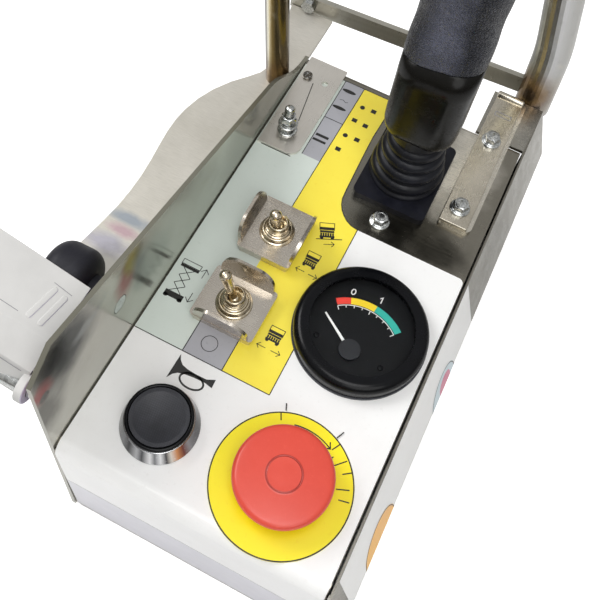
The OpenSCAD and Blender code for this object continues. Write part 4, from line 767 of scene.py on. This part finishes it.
def panel_marks():
    """Every thin line and sign of the panel, in one piece."""
    bm = bmesh.new()
    for line in ([(0.7, ZONE_Y), (66.2, ZONE_Y)], [(66.2, ZONE_Y)] + STICK_EDGE, [(24.3, ZONE_Y), (24.3, 76)],
                 [(43.4, ZONE_Y), (43.4, 78)], [(24, 178), (24, 231)], [(33.4, 147), (34, 188), (34.7, 231)],
                 [(24, 204.4), (34.3, 204.4)], [(0.7, 231), (51.8, 231)]):
        stroke(bm, line, 0.42, 0.15)
    stroke(bm, oval((33, 68.8), 3.6, 3.6, 32), 0.32, closed=True)
    lift_sign(bm)
    horn_sign(bm)
    machine(bm, 52.9, 81.7, 6.6, 7.7)
    machine(bm, 51, 122.6, 6.2, 8.2)
    machine(bm, 52.4, 138.9, 7, 8.6, 24)
    for a, b in (((55.1, 78.5), (50.9, 78.5)), ((57.6, 78.5), (62.1, 78.5)), ((53.7, 119.8), (49.4, 119.8)),
                 ((55.8, 119.5), (60.2, 119.5)), ((55.3, 137), (59.8, 139.3))):
        arrow(bm, a, b, 1.4)
    stroke(bm, [(51, 138), (62, 143.4)], 0.45)
    for x, y in ((44.8, 219.9), (38.4, 209.9), (44.7, 209.4), (44.5, 199.3), (38.5, 189.5)):
        decal(bm, box_points(x - 1.35, y - 1.2, x + 1.35, y + 1.2))
    for shape in (oval((38.7, 219.4), 1.3, 1.3, 16), oval((38.2, 199), 1.3, 1.3, 16),
                  oval((28.4, 225.3), 3.8, 1.15, 24), oval((28.2, 213.1), 3.8, 1.05, 24),
                  box_points(24.9, 191.7, 31.8, 193.3), box_points(24.6, 188.5, 31.7, 189.9)):
        decal(bm, shape)
    stroke(bm, [(26.2, 218.2), (28, 218.8), (29.6, 217.8), (30.9, 218.4)], 0.3)
    new_piece("decal_marks", bm, "ink", smooth=False)


# Short strokes on the stop disc: angle, inner radius, outer radius.
STOP_STROKES = [(117, 25.8, 29), (113, 30, 33.2), (66, 29.6, 33.6), (60.5, 25, 29), (54, 21.4, 24),
                (46, 22.5, 28.5), (36, 25, 29), (22, 22, 27.5), (12, 23.5, 28)]
STOP_LIFT, STOP_LINE = 0.56, 0.5


def stop_marks():
    """A thin rim line, a plain turning arrow and a few short strokes on the yellow disc."""
    bm = bmesh.new()
    stroke(bm, oval(STOP, 29.2, 29.2, 96), 0.55, STOP_LIFT, True, on_disc)
    turning = arc(STOP, 24.6, 62, 104, 16)
    arrow_head(bm, turning[2], turning[0], 2.2, 1.8, STOP_LINE, STOP_LIFT + 0.02, on_disc)
    dashes = [[polar(STOP, low, angle), polar(STOP, high, angle)] for angle, low, high in STOP_STROKES]
    for line in [turning] + dashes:
        stroke(bm, line, STOP_LINE, STOP_LIFT, wrap=on_disc)
    new_piece("stop_marks", bm, "ink", smooth=False)


def flank_decals():
    """Two white sheets on the right flank, and two plain discs, one with a dot."""
    upper, lower = box_points(8, 0.4, 151, 33.4), box_points(8, 33.9, 151, 74)
    sheet("flank_white", "white", (upper, 0.06), (lower, 0.05), wrap=on_flank)
    for name, centre, radius in (("orange", (38, 34), 15), ("blue", (113, 34.5), 14)):
        sheet("flank_disc_" + name, name, (oval(centre, radius, radius, 48), 0.11), wrap=on_flank)
        rim = oval(centre, radius - 0.4, radius - 0.4, 64)
        lines("flank_ring_" + name, "ink", (rim, 0.5, 0.15, True), wrap=on_flank)
    sheet("flank_dot", "pink", (oval((115, 31.5), 6.5, 6.5, 32), 0.15), wrap=on_flank)


DIAL_LIFT, DIAL_START, DIAL_END = 4.03, -38, 42
DIAL_ZONES = [("dial_red", DIAL_START, -22), ("dial_yellow", -22, 6), ("dial_teal", 6, DIAL_END)]


def dial_arc(radius, start, end, steps):
    """An arc on the dial about the needle's hub, its angles clockwise from the back."""
    return arc(HUB, radius, 90 - start, 90 - end, steps)


def dial_art():
    """Coloured zones, scale, letters and two small screws on the gauge's dial."""
    for name, start, end in DIAL_ZONES:
        zone = dial_arc(25.2, start, end, 20) + dial_arc(22, start, end, 20)[::-1]
        sheet(name, name, (zone, DIAL_LIFT))
    scale = [dial_arc(21.5, DIAL_START, DIAL_END, 40)]
    for i in range(9):
        way = 90 - DIAL_START - 10 * i
        scale.append([polar(HUB, 21.5, way), polar(HUB, 19.6 if i % 4 == 0 else 20.3, way)])
    letters = [(oval((78.2, 119.6), 0.9, 1.35, 20), 0.5, DIAL_LIFT, True),
               ([(90.2, 122.3), (91.2, 123.2), (91.2, 120.2)], 0.5, DIAL_LIFT)]
    lines("dial_numbers", "dial_white", *[(line, 0.35, DIAL_LIFT) for line in scale], *letters)
    screws = bmesh.new()
    for x, y in ((72.3, 92.9), (103.1, 92.3)):
        lathe(screws, [(1.3, 4), (1.3, 4.25), (1, 4.5), (0.4, 4.58), (0, 4.6)], (x, y, 0), 20)
    new_piece("dial_screws", screws, "gauge_bezel")


# -------- screws
STRIP_SCREWS = [(105, 185, 4), (105, 230.5, 4)]
YOKE_SCREWS = [(73.5, 161.5, 0), (73.5, 222.5, 0)]
STUD = (11.5, 186.6, 0)
STUD_TOP, STUD_R, THREAD_PITCH = 19, 2.5, 0.8
SCREW_EDGE = (0.12, 2, 50)


def hex_screw(bm, x, y, z):
    """Washer, chamfered head with a shallow dimple and a short shank."""
    lathe(bm, [(2.45, -4), (2.45, 0), (4.9, 0), (5, 0.2), (5, 0.55), (4.75, 0.85), (2.6, 0.9)],
          (x, y, z), 48)
    lathe(bm, [(4.15, 0.88), (4.15, 1.25), (3.8, 1.5), (2.5, 1.5)], (x, y, z), 48)
    hex_nut(bm, (x, y), z + 1.3, 3.1)
    lathe(bm, [(2.5, 4.38), (2.45, 4.5), (2.2, 4.5), (1.9, 4.3), (0, 4.22)], (x, y, z), 32)


def thread(low, high, radius, pitch):
    """A profile with even ridges, as a thread looks from the side."""
    points = [(radius - 0.3, low)]
    for i in range(int((high - low) / pitch)):
        points += [(radius, low + (i + 0.4) * pitch), (radius - 0.32, low + (i + 1) * pitch)]
    return points


def screw_pieces():
    for name, places in (("strip_screws", STRIP_SCREWS), ("yoke_screws", YOKE_SCREWS)):
        bm = bmesh.new()
        for place in places:
            hex_screw(bm, *place)
        swap(name, name + "_view", bm, "zinc_screw", edge=SCREW_EDGE)
    bm = bmesh.new()
    lathe(bm, [(4, -6), (4, -2.2), (2.2, -2.1)] + thread(-2, STUD_TOP, STUD_R, THREAD_PITCH)
          + [(1.7, STUD_TOP + 0.35), (0, STUD_TOP + 0.4)], STUD, 32)
    swap("corner_stud", "corner_stud_view", bm, "zinc_screw")
    bm = bmesh.new()
    lathe(bm, [(2.6, 1.5), (4.9, 1.5), (5, 1.7), (5, 2.2), (4.8, 2.4), (2.6, 2.4)], STUD, 48)
    hex_nut(bm, STUD, 2.5, 4.1)
    lathe(bm, [(2.6, 6.6), (4.8, 6.6), (4.95, 6.8), (4.95, 7.3), (4.6, 7.5), (2.6, 7.5)], STUD, 48)
    lathe(bm, [(2.6, 7.55), (4, 7.55), (4.2, 7.8), (4.1, 8.4), (2.6, 8.45)], STUD, 48)
    hex_nut(bm, STUD, 8.5, 4.1)
    swap("corner_nuts", "corner_nuts_view", bm, "zinc_screw", edge=SCREW_EDGE)


# -------- plates and socket
BRACKET_EDGE = [
    (-2, 34), (-33, 34), (-38.6, 35.2), (-42.8, 38.4), (-45.2, 42.6), (-46, 48), (-45.8, 58),
    (-44.8, 68), (-43.2, 78), (-41.4, 88), (-39.6, 98), (-38.1, 108), (-37.4, 118),
    (-37.4, 128), (-38.1, 138), (-39.2, 148), (-40, 157), (-40.1, 165), (-39.2, 173),
    (-37, 182), (-33.4, 191), (-28, 200), (-22, 207.5), (-17.6, 213.5), (-15.7, 219),
    (-16.6, 228), (-19.6, 242), (-25, 265.6), (0, 265.6), (0, 236), (-2, 236)]
STRIP_BOX = (98, 175, 112.4, 261.4)
STRIP_LIP = 2


def bracket_piece():
    """The rail bracket: a flat plate with a sweeping outer edge."""
    bm = bmesh.new()
    loft(bm, [[(x, y, z) for x, y in BRACKET_EDGE] for z in (-2, 0)])
    bmesh.ops.recalc_face_normals(bm, faces=bm.faces)
    swap("rail_bracket", "bracket_view", bm, "bracket_plate", edge=(0.35, 3, 50),
         smooth=False)


def strip_piece():
    """Upper layer of the strip: softened edges and a rolled lip behind; the embossed slot is only a grey
    outline, painted shade in place of its relief.
    """
    left, front, right, back = STRIP_BOX
    middle = ((left + right) / 2, (front + back) / 2)
    bm = bmesh.new()
    loft(bm, [rounded_ring(middle, right - left, back - front, 1, z) for z in (2.03, 4)])
    r, long = STRIP_LIP, right - left
    roll = [(r - 0.8, 0), (r - 0.2, 0.2), (r, 0.8), (r, long - 0.8), (r - 0.2, long - 0.2), (r - 0.8, long)]
    lathe(bm, roll, (left, back, 4), 32, axis=(1, 0, 0))
    swap("strip_bracket", "strip_view", bm, "strip_spacer", edge=(0.4, 3, 50))
    slot = box_points(middle[0] - 4.2, back - 14, middle[0] + 4.2, back - 11.4)
    # Grey outline of the embossed slot: painted shade in place of its raised edge.
    lines("strip_slot", "seam_grey", (slot, 0.4, 4.03, True))


def plate_pieces():
    bracket_piece()
    strip_piece()
    # A scribed line on the corner plate, and a dark line on the panel along the plate's front edge that is a
    # painted shadow.
    lines("corner_scribe_and_shadow", "ink", ([(10, 219.6), (14.1, 194)], 0.45, 1.66),
          ([(1.6, 174.6), (4, 173.55), (19.8, 173.55)], 0.5, 0.2))


SOCKET_TILT = math.radians(20)
LID_SHAPE = [(46, -12), (46, 0), (20.8, 0), (10, -6), (4, -16), (4, -20)]
LID_INNER = [(43.8, -12), (43.8, -2.2), (20.2, -2.2), (11.4, -7.4), (6.2, -16.6), (6.2, -20)]
LID_W, LID_WALL = 64, 2.2


def socket_point(x, y, z):
    c, s = math.cos(SOCKET_TILT), math.sin(SOCKET_TILT)
    return (-5 + x * c + z * s, y, 58 - x * s + z * c)


def on_lid(u, v, lift):
    """Places a flat mark on the lid: x across it, y back along its slope."""
    z = 0 if v > 20.8 else -6 * (20.8 - v) / 10.8
    return P(*socket_point(u, v, z + lift))


def lid_shell(bm):
    """Walls of the lid: an outer and an inner skin, joined round the open side."""
    skins = []
    for shape, right, left in ((LID_SHAPE, 0, -LID_W), (LID_INNER, -LID_WALL, LID_WALL - LID_W)):
        skins.append([[bm.verts.new(P(*socket_point(x, y, z))) for y, z in shape] for x in (right, left)])
    for right, left in skins:
        bm.faces.new(right)
        bm.faces.new(left)
        for i in range(5):
            bm.faces.new((right[i], right[i + 1], left[i + 1], left[i]))
    (out_r, out_l), (in_r, in_l) = skins
    outer, inner = (out_r[0], out_l[0], out_l[5], out_r[5]), (in_r[0], in_l[0], in_l[5], in_r[5])
    for i in range(4):
        j = (i + 1) % 4
        bm.faces.new((outer[i], outer[j], inner[j], inner[i]))


def rib(bm, low, high):
    """A raised rounded rib between two places on the lid."""
    turn = math.degrees(math.atan2(high[1] - low[1], high[0] - low[0]))
    rings = []
    for w, lift in ((2.5, -0.4), (2.5, 0.04), (2.1, 0.16), (1.3, 0.2)):
        outline = arc(low, w / 2, turn + 90, turn + 270, 8) + arc(high, w / 2, turn - 90, turn + 90, 8)
        rings.append([socket_point(x, y, lift) for x, y in outline])
    loft(bm, rings)


def lid_piece():
    """The hinged lid with its two ribs, its hinge ear and the fine lines on it."""
    bm = bmesh.new()
    lid_shell(bm)
    rib(bm, (-12.6, 25.4), (-10.3, 38))
    rib(bm, (-7.5, 25.1), (-5.6, 37.2))
    lathe(bm, [(3, 0), (5.6, 0), (6, 0.4), (6, 3.2), (5.6, 3.6), (3, 3.6)], (-9.6, 6.3, 46), 48,
          axis=(1, 0, 0), close=True)
    bmesh.ops.recalc_face_normals(bm, faces=bm.faces)
    swap("socket_lid", "lid_view", bm, "hood", "lid", (0.9, 4, 28))
    seams = ([(-63.4, 24.3), (-16.4, 24.3)], [(-63.4, 8.9), (-3.4, 8.9)], [(-4, 39.6), (-12, 40.2)])
    lines("lid_lines", "seam_grey", *[(line, 0.26, 0.06) for line in seams], wrap=on_lid, body="lid")


# -------- switches and buttons
GUARD_TOP = 5.7
BUSH_PROFILE = [
    (5.9, -2), (5.9, 8.9), (5.3, 9.2), (5.25, 10.2), (5, 10.3), (5, 10.8), (5.2, 10.9), (5.2, 11.6),
    (4.95, 11.8), (4.95, 12.3), (5.1, 12.4), (5.05, 13.2), (4.7, 13.9), (4.2, 14.25), (3.85, 14.2),
    (3.7, 13.6), (3.7, 10.4)]
NUT_PROFILE = [
    (6, GUARD_TOP), (8.05, GUARD_TOP), (8.2, 5.85), (8.2, 6.3), (7.95, 6.55), (7.45, 6.6), (7.3, 6.72),
    (7.3, 7.1), (7.1, 7.2), (7.1, 7.4), (7.3, 7.5), (7.25, 8.4), (6.9, 8.9), (6.35, 9.05), (6, 8.8)]
CASE_ROWS = [(-1.2, -1.2, 0.8, -26), (0, 0, 1.2, -25.4), (0, 0, 1.2, -7.2)]
FRAME_ROWS = [(0, -0.8, 0.6, -7.6), (0, 0, 0.6, -6.8), (0, 0, 0.6, -2.5), (-0.8, -0.8, 0.6, -2)]


def switch_piece(key, along_y):
    """One toggle switch: moulded case, plated frame and terminals below, stepped bush above."""
    place = x, y = TOGGLES[key]
    w, l = (14, 19) if along_y else (19, 14)
    bm = bmesh.new()
    loft(bm, tiers(place, w, l, CASE_ROWS))
    loft(bm, tiers(place, w, l, FRAME_ROWS), 1)
    for i in (-6, 0, 6):
        at, tw, tl = ((x, y + i), 5, 1) if along_y else ((x + i, y), 1, 5)
        loft(bm, [rounded_ring(at, tw * part, tl * part, r, z, 3)
                  for part, r, z in ((0.6, 0.2, -33), (1, 0.3, -32.2), (1, 0.3, -25.8))], 1)
    lathe(bm, BUSH_PROFILE, (*place, 0), 64, material=1)
    swap(key + "_switch_body", key + "_switch_view", bm, "case nickel", edge=(0.15, 2, 40))
    bm = bmesh.new()
    lathe(bm, NUT_PROFILE, (*place, 0), 72, close=True)
    swap(key + "_switch_nut", key + "_nut_view", bm, "nickel")


SKIRT_PROFILE = [(6.2, 0.3), (16.3, 0.3), (16.5, 0.5), (16.4, 0.9), (14.45, 8.1), (14.3, 8.5), (13.9, 8.7),
                 (13.9, 2), (12.4, 1.6), (6.2, 1.6)]
SOCKET_PROFILE = [(6.2, -14), (11, -14), (11, -6), (13, -6), (13, -2), (11, -2),
                  (11, 0.4), (6.2, 0.4)]
RING_PROFILE = [(13.85, 8), (14.05, 8.9), (14, 9.9), (13.7, 10.4), (13.2, 10.6), (12.75, 10.5),
                (12.45, 10.1), (12.38, 9.2), (12.38, 3), (13.85, 3)]


def horn_pieces():
    """Flared chrome skirt below a black ring; the cap is the source's own."""
    bm = bmesh.new()
    lathe(bm, SKIRT_PROFILE, (*HORN, 0), 96, close=True)
    lathe(bm, SOCKET_PROFILE, (*HORN, 0), 48, close=True)
    swap("horn_bezel", "horn_skirt", bm, "skirt")
    bm = bmesh.new()
    lathe(bm, RING_PROFILE, (*HORN, 0), 96, close=True)
    new_piece("horn_ring", bm, "gauge_bezel")


HEAD_R, HEAD_RIM, HEAD_TOP = 20.35, 2.4, 15.6


def mushroom_piece():
    """Red head: a low dome with a rounded rim and a fine raised ring in its middle."""
    bm = bmesh.new()
    rim = arc((HEAD_R - HEAD_RIM, 12.35), HEAD_RIM, -60, 80, 14)
    dome = [(r, HEAD_TOP - 0.85 * (r / 18.3) ** 2) for r in (17, 15, 12.5, 10, 8.2)]
    ring = [(7.35, 15.45), (7.25, 15.5), (7.15, 15.35), (6.95, 15.35), (6.85, 15.52), (6.6, 15.5)]
    crown = [(4, 15.56), (2, HEAD_TOP), (0, HEAD_TOP)]
    lathe(bm, [(9.6, 8.8), (16.8, 8.8), (18.2, 9.3)] + rim + dome + ring + crown, (*STOP, 0), 128)
    swap("stop_mushroom", "stop_head", bm, "mushroom", "stop_head")


# -------- joystick
COLLAR_W, COLLAR_L = 34.2, 31.8
COLLAR_ROWS = [(-5, 9, 44), (-2.6, 10, 44.3), (-1, 11, 45.6), (-0.3, 11.5, 47.6),
               (0, 11.5, 50), (0, 11.5, 66), (0.1, 11.5, 80)]
SEAM_Z, SEAM_FRONT, SEAM_SIDE = 91, -0.3, 0.16


def seam(rise):
    """The slanting joint between collar and grip, moved up, as a function of x and y."""
    return lambda x, y: SEAM_Z + SEAM_FRONT * (y - STICK[1]) + SEAM_SIDE * (x - STICK[0]) + rise


def collar_piece():
    bm = bmesh.new()
    rows = COLLAR_ROWS + [(-0.2, 11.5, seam(-0.3)), (-1.8, 11, seam(-0.3)), (-2.4, 11, seam(2))]
    loft(bm, tiers(STICK, COLLAR_W, COLLAR_L, [(d, d, r, z) for d, r, z in rows], 10))
    swap("joystick_collar", "collar_view", bm, "collar", "stick")


# Sections of the grip: share of its height, width, length, corner radius, shift in y.
GRIP_SECTIONS = [(0.06, 34.6, 32.4, 13, 0), (0.16, 34.4, 32.2, 13.4, 0), (0.3, 33.4, 31.2, 14, 0),
                 (0.42, 33.2, 31.6, 14.4, -0.3), (0.55, 34, 33.4, 14.6, -1), (0.7, 34.4, 35, 14.8, -1.8),
                 (0.84, 34.4, 35.8, 14.8, -2)]
GRIP_TOP, GRIP_ROUND = 167, 13
GRIP_TIP = (34.4, 35.8, 14.8, -2)


def grip_rings():
    """Rings up the grip: its slanting foot, its sections and its rounded top."""
    shoulder = GRIP_TOP - GRIP_ROUND
    foot = [(-2.4, -2.4, 12.5, seam(1.2)), (-0.9, -0.9, 12.5, seam(0.1)), (-0.2, -0.2, 12.5, seam(0.4)),
            (0, 0, 12.5, seam(1.4))]
    rings = tiers(STICK, 34.5, 32.2, foot, 10)
    for t, w, l, r, back in GRIP_SECTIONS:
        def height(x, y, t=t):
            low = seam(1.4)(x, y)
            return low + (shoulder - low) * t
        rings.append(rounded_ring((STICK[0], STICK[1] + back), w, l, r, height, 10))
    w, l, r, back = GRIP_TIP
    for out, up in arc((0, 0), GRIP_ROUND, 0, 90, 6):
        cut = 2 * (GRIP_ROUND - out)
        corner = min(r, (w - cut) / 2 - 0.4, (l - cut) / 2 - 0.4)
        rings.append(rounded_ring((STICK[0], STICK[1] + back), w - cut, l - cut, corner, shoulder + up, 10))
    return rings


def carve(piece, boxes):
    """Cuts boxes, each two corners in millimetres, out of a piece."""
    bm = bmesh.new()
    for low, high in boxes:
        size, middle = [b - a for a, b in zip(low, high)], [(a + b) / 2 for a, b in zip(low, high)]
        made = bmesh.ops.create_cube(bm, size=MM)["verts"]
        bmesh.ops.scale(bm, vec=size, verts=made)
        bmesh.ops.translate(bm, vec=P(*middle), verts=made)
    cutter = add_mesh("cut", bm)
    made = piece.modifiers.new("cut", "BOOLEAN")
    made.operation, made.object, made.solver = "DIFFERENCE", cutter, "EXACT"
    bpy.context.view_layer.update()
    shown = piece.evaluated_get(bpy.context.evaluated_depsgraph_get())
    fresh = bpy.data.meshes.new_from_object(shown)
    piece.modifiers.clear()
    piece.data = fresh
    bpy.data.objects.remove(cutter)


def grip_piece():
    """Smooth leather-grained handle, with openings for the trigger and the thumb rocker."""
    bm = bmesh.new()
    loft(bm, grip_rings())
    x, y = STICK
    grip = new_piece("grip_view", bm, "grip", "stick")
    trigger_way = ((x - 6, y + 7, 118.9), (x + 6, y + 30, 149.6))
    rocker_way = ((x - 10.2, y - 9.1, 157), (x + 10.2, y + 3.1, 170))
    carve(grip, [trigger_way, rocker_way])
    shade_smooth(grip)
    soften(grip, 0.3, 2, 50)
    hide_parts("grip_front")
    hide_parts("grip_rear")


BOOT_LOW_Z, BOOT_RINGS, BOOT_PITCH, BOOT_STEPS = 4, 4, 7.15, 96
BOOT_SEAM_ANGLE, BOOT_SEAM_RISE = -99, 0.22


def boot_profile():
    """Radius and height up the boot: a foot, four full rings and the neck inside the collar."""
    points = [(18, 0), (18.15, 0.9), (17.2, 1.9)]
    for i in range(BOOT_RINGS):
        out = 14.4 - 4 * i / (BOOT_RINGS - 1)
        mid = 2.4 + BOOT_PITCH * (i + 0.5)
        points += [polar((out, mid), 3.6, angle, 3.7 / 3.6) for angle in (-62, -40, -20, 0, 20, 40, 62)]
        points.append((out + 0.1, mid + BOOT_PITCH / 2))
    return points + [(13.1, 32.2), (13.2, 33.4), (13.2, 36), (13.15, 39.6), (13.1, 43)]


def rubber_boot():
    """Ribbed boot with a fine mould seam; it runs from the housing up to the stick."""
    bm = bmesh.new()
    rings = []
    for radius, height in boot_profile():
        radii = [radius + BOOT_SEAM_RISE] + [radius] * (BOOT_STEPS - 1)
        rings.append([(*polar(STICK, r, BOOT_SEAM_ANGLE + 360 * i / BOOT_STEPS), BOOT_LOW_Z + height)
                      for i, r in enumerate(radii)])
    loft(bm, rings, ends=(False, False))
    boot = new_piece("boot_bellows", bm, "boot", None)
    made = boot.modifiers.new("smooth", "SUBSURF")
    made.levels = made.render_levels = 1
    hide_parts("rubber_boot")
    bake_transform(boot)


# -------- stage
CAMERA_PLACE = (0.04097, -0.18131, 0.45378)
CAMERA_AXES = ((0.89329, 0.4389, 0.09694), (-0.42049, 0.73983, 0.5252), (0.15879, -0.50992, 0.84544))
LAMPS = [("key", (-0.95, 0.05, 1.05), 0.7, 8.2), ("top", (0.1, -0.35, 1.5), 0.8, 6.6),
         ("fill", (0.6, -0.8, 1), 1, 4.6)]
LAMP_AIM = Vector((0, 0, 0.1))
SKY = [(0, "8c8a86"), (0.48, "8f8c86"), (0.56, "a9a6a0"), (0.72, "e6e5e2"), (1, "ffffff")]
ROOM_LEVEL, MIRROR_LEVEL, FLOOR_GLOW, FLOOR_HALF = 0.49, 0.62, 0.5, 3


def camera():
    data = bpy.data.cameras.new("camera")
    data.lens, data.sensor_width, data.shift_y = 53.76, 36, -0.175
    made = add_object("camera", data)
    made.matrix_world = Matrix.Translation(CAMERA_PLACE) @ Matrix(CAMERA_AXES).transposed().to_4x4()
    bpy.context.scene.camera = made


def lamps():
    for name, place, size, power in LAMPS:
        data = bpy.data.lights.new(name, "AREA")
        data.shape, data.size, data.energy = "DISK", size, power
        made = add_object(name, data)
        made.location = place
        made.rotation_euler = (LAMP_AIM - Vector(place)).to_track_quat("-Z", "Y").to_euler()


def world():
    """A bright room: white above, warm grey near the horizon, and brighter where it is mirrored."""
    room = bpy.data.worlds.new("room")
    bpy.context.scene.world = room
    sky = Shading(room)
    height = sky.node("SeparateXYZ", {0: sky.node("TexCoord").outputs["Generated"]}).outputs["Z"]
    mirrored = sky.node("LightPath").outputs["Is Glossy Ray"]
    back = sky.tree.nodes["Background"]
    sky.feed(back.inputs["Color"], sky.ramp(sky.between(height, -1, 1), SKY))
    sky.feed(back.inputs["Strength"], sky.between(mirrored, 0, 1, ROOM_LEVEL, MIRROR_LEVEL))


def floor():
    """A white floor that glows a little for the camera only."""
    bm = bmesh.new()
    bm.faces.new([bm.verts.new((x, y, 0)) for x, y in box_points(*[-FLOOR_HALF] * 2, *[FLOOR_HALF] * 2)])
    piece = add_mesh("floor", bm)
    s = Surface("floor white", "f4f4f4", 0.9)
    plain = s.shader.outputs[0]
    glow = s.node("Emission", {"Strength": FLOOR_GLOW}).outputs[0]
    bright = s.node("AddShader", {0: plain, 1: glow}).outputs[0]
    seen = s.node("LightPath").outputs["Is Camera Ray"]
    shown = s.node("MixShader", {0: seen, 1: plain, 2: bright}).outputs[0]
    s.feed(s.tree.nodes["Material Output"].inputs["Surface"], shown)
    piece.data.materials.append(s.done())


camera()
world()
floor()
lamps()
bpy.context.scene.view_settings.view_transform = "Standard"

dress_nodes()
decal_sheets()
panel_marks()
stop_marks()
flank_decals()
dial_art()
rubber_boot()
screw_pieces()
switch_piece("front", True)
switch_piece("rear", False)
horn_pieces()
mushroom_piece()
collar_piece()
grip_piece()
plate_pieces()
lid_piece()
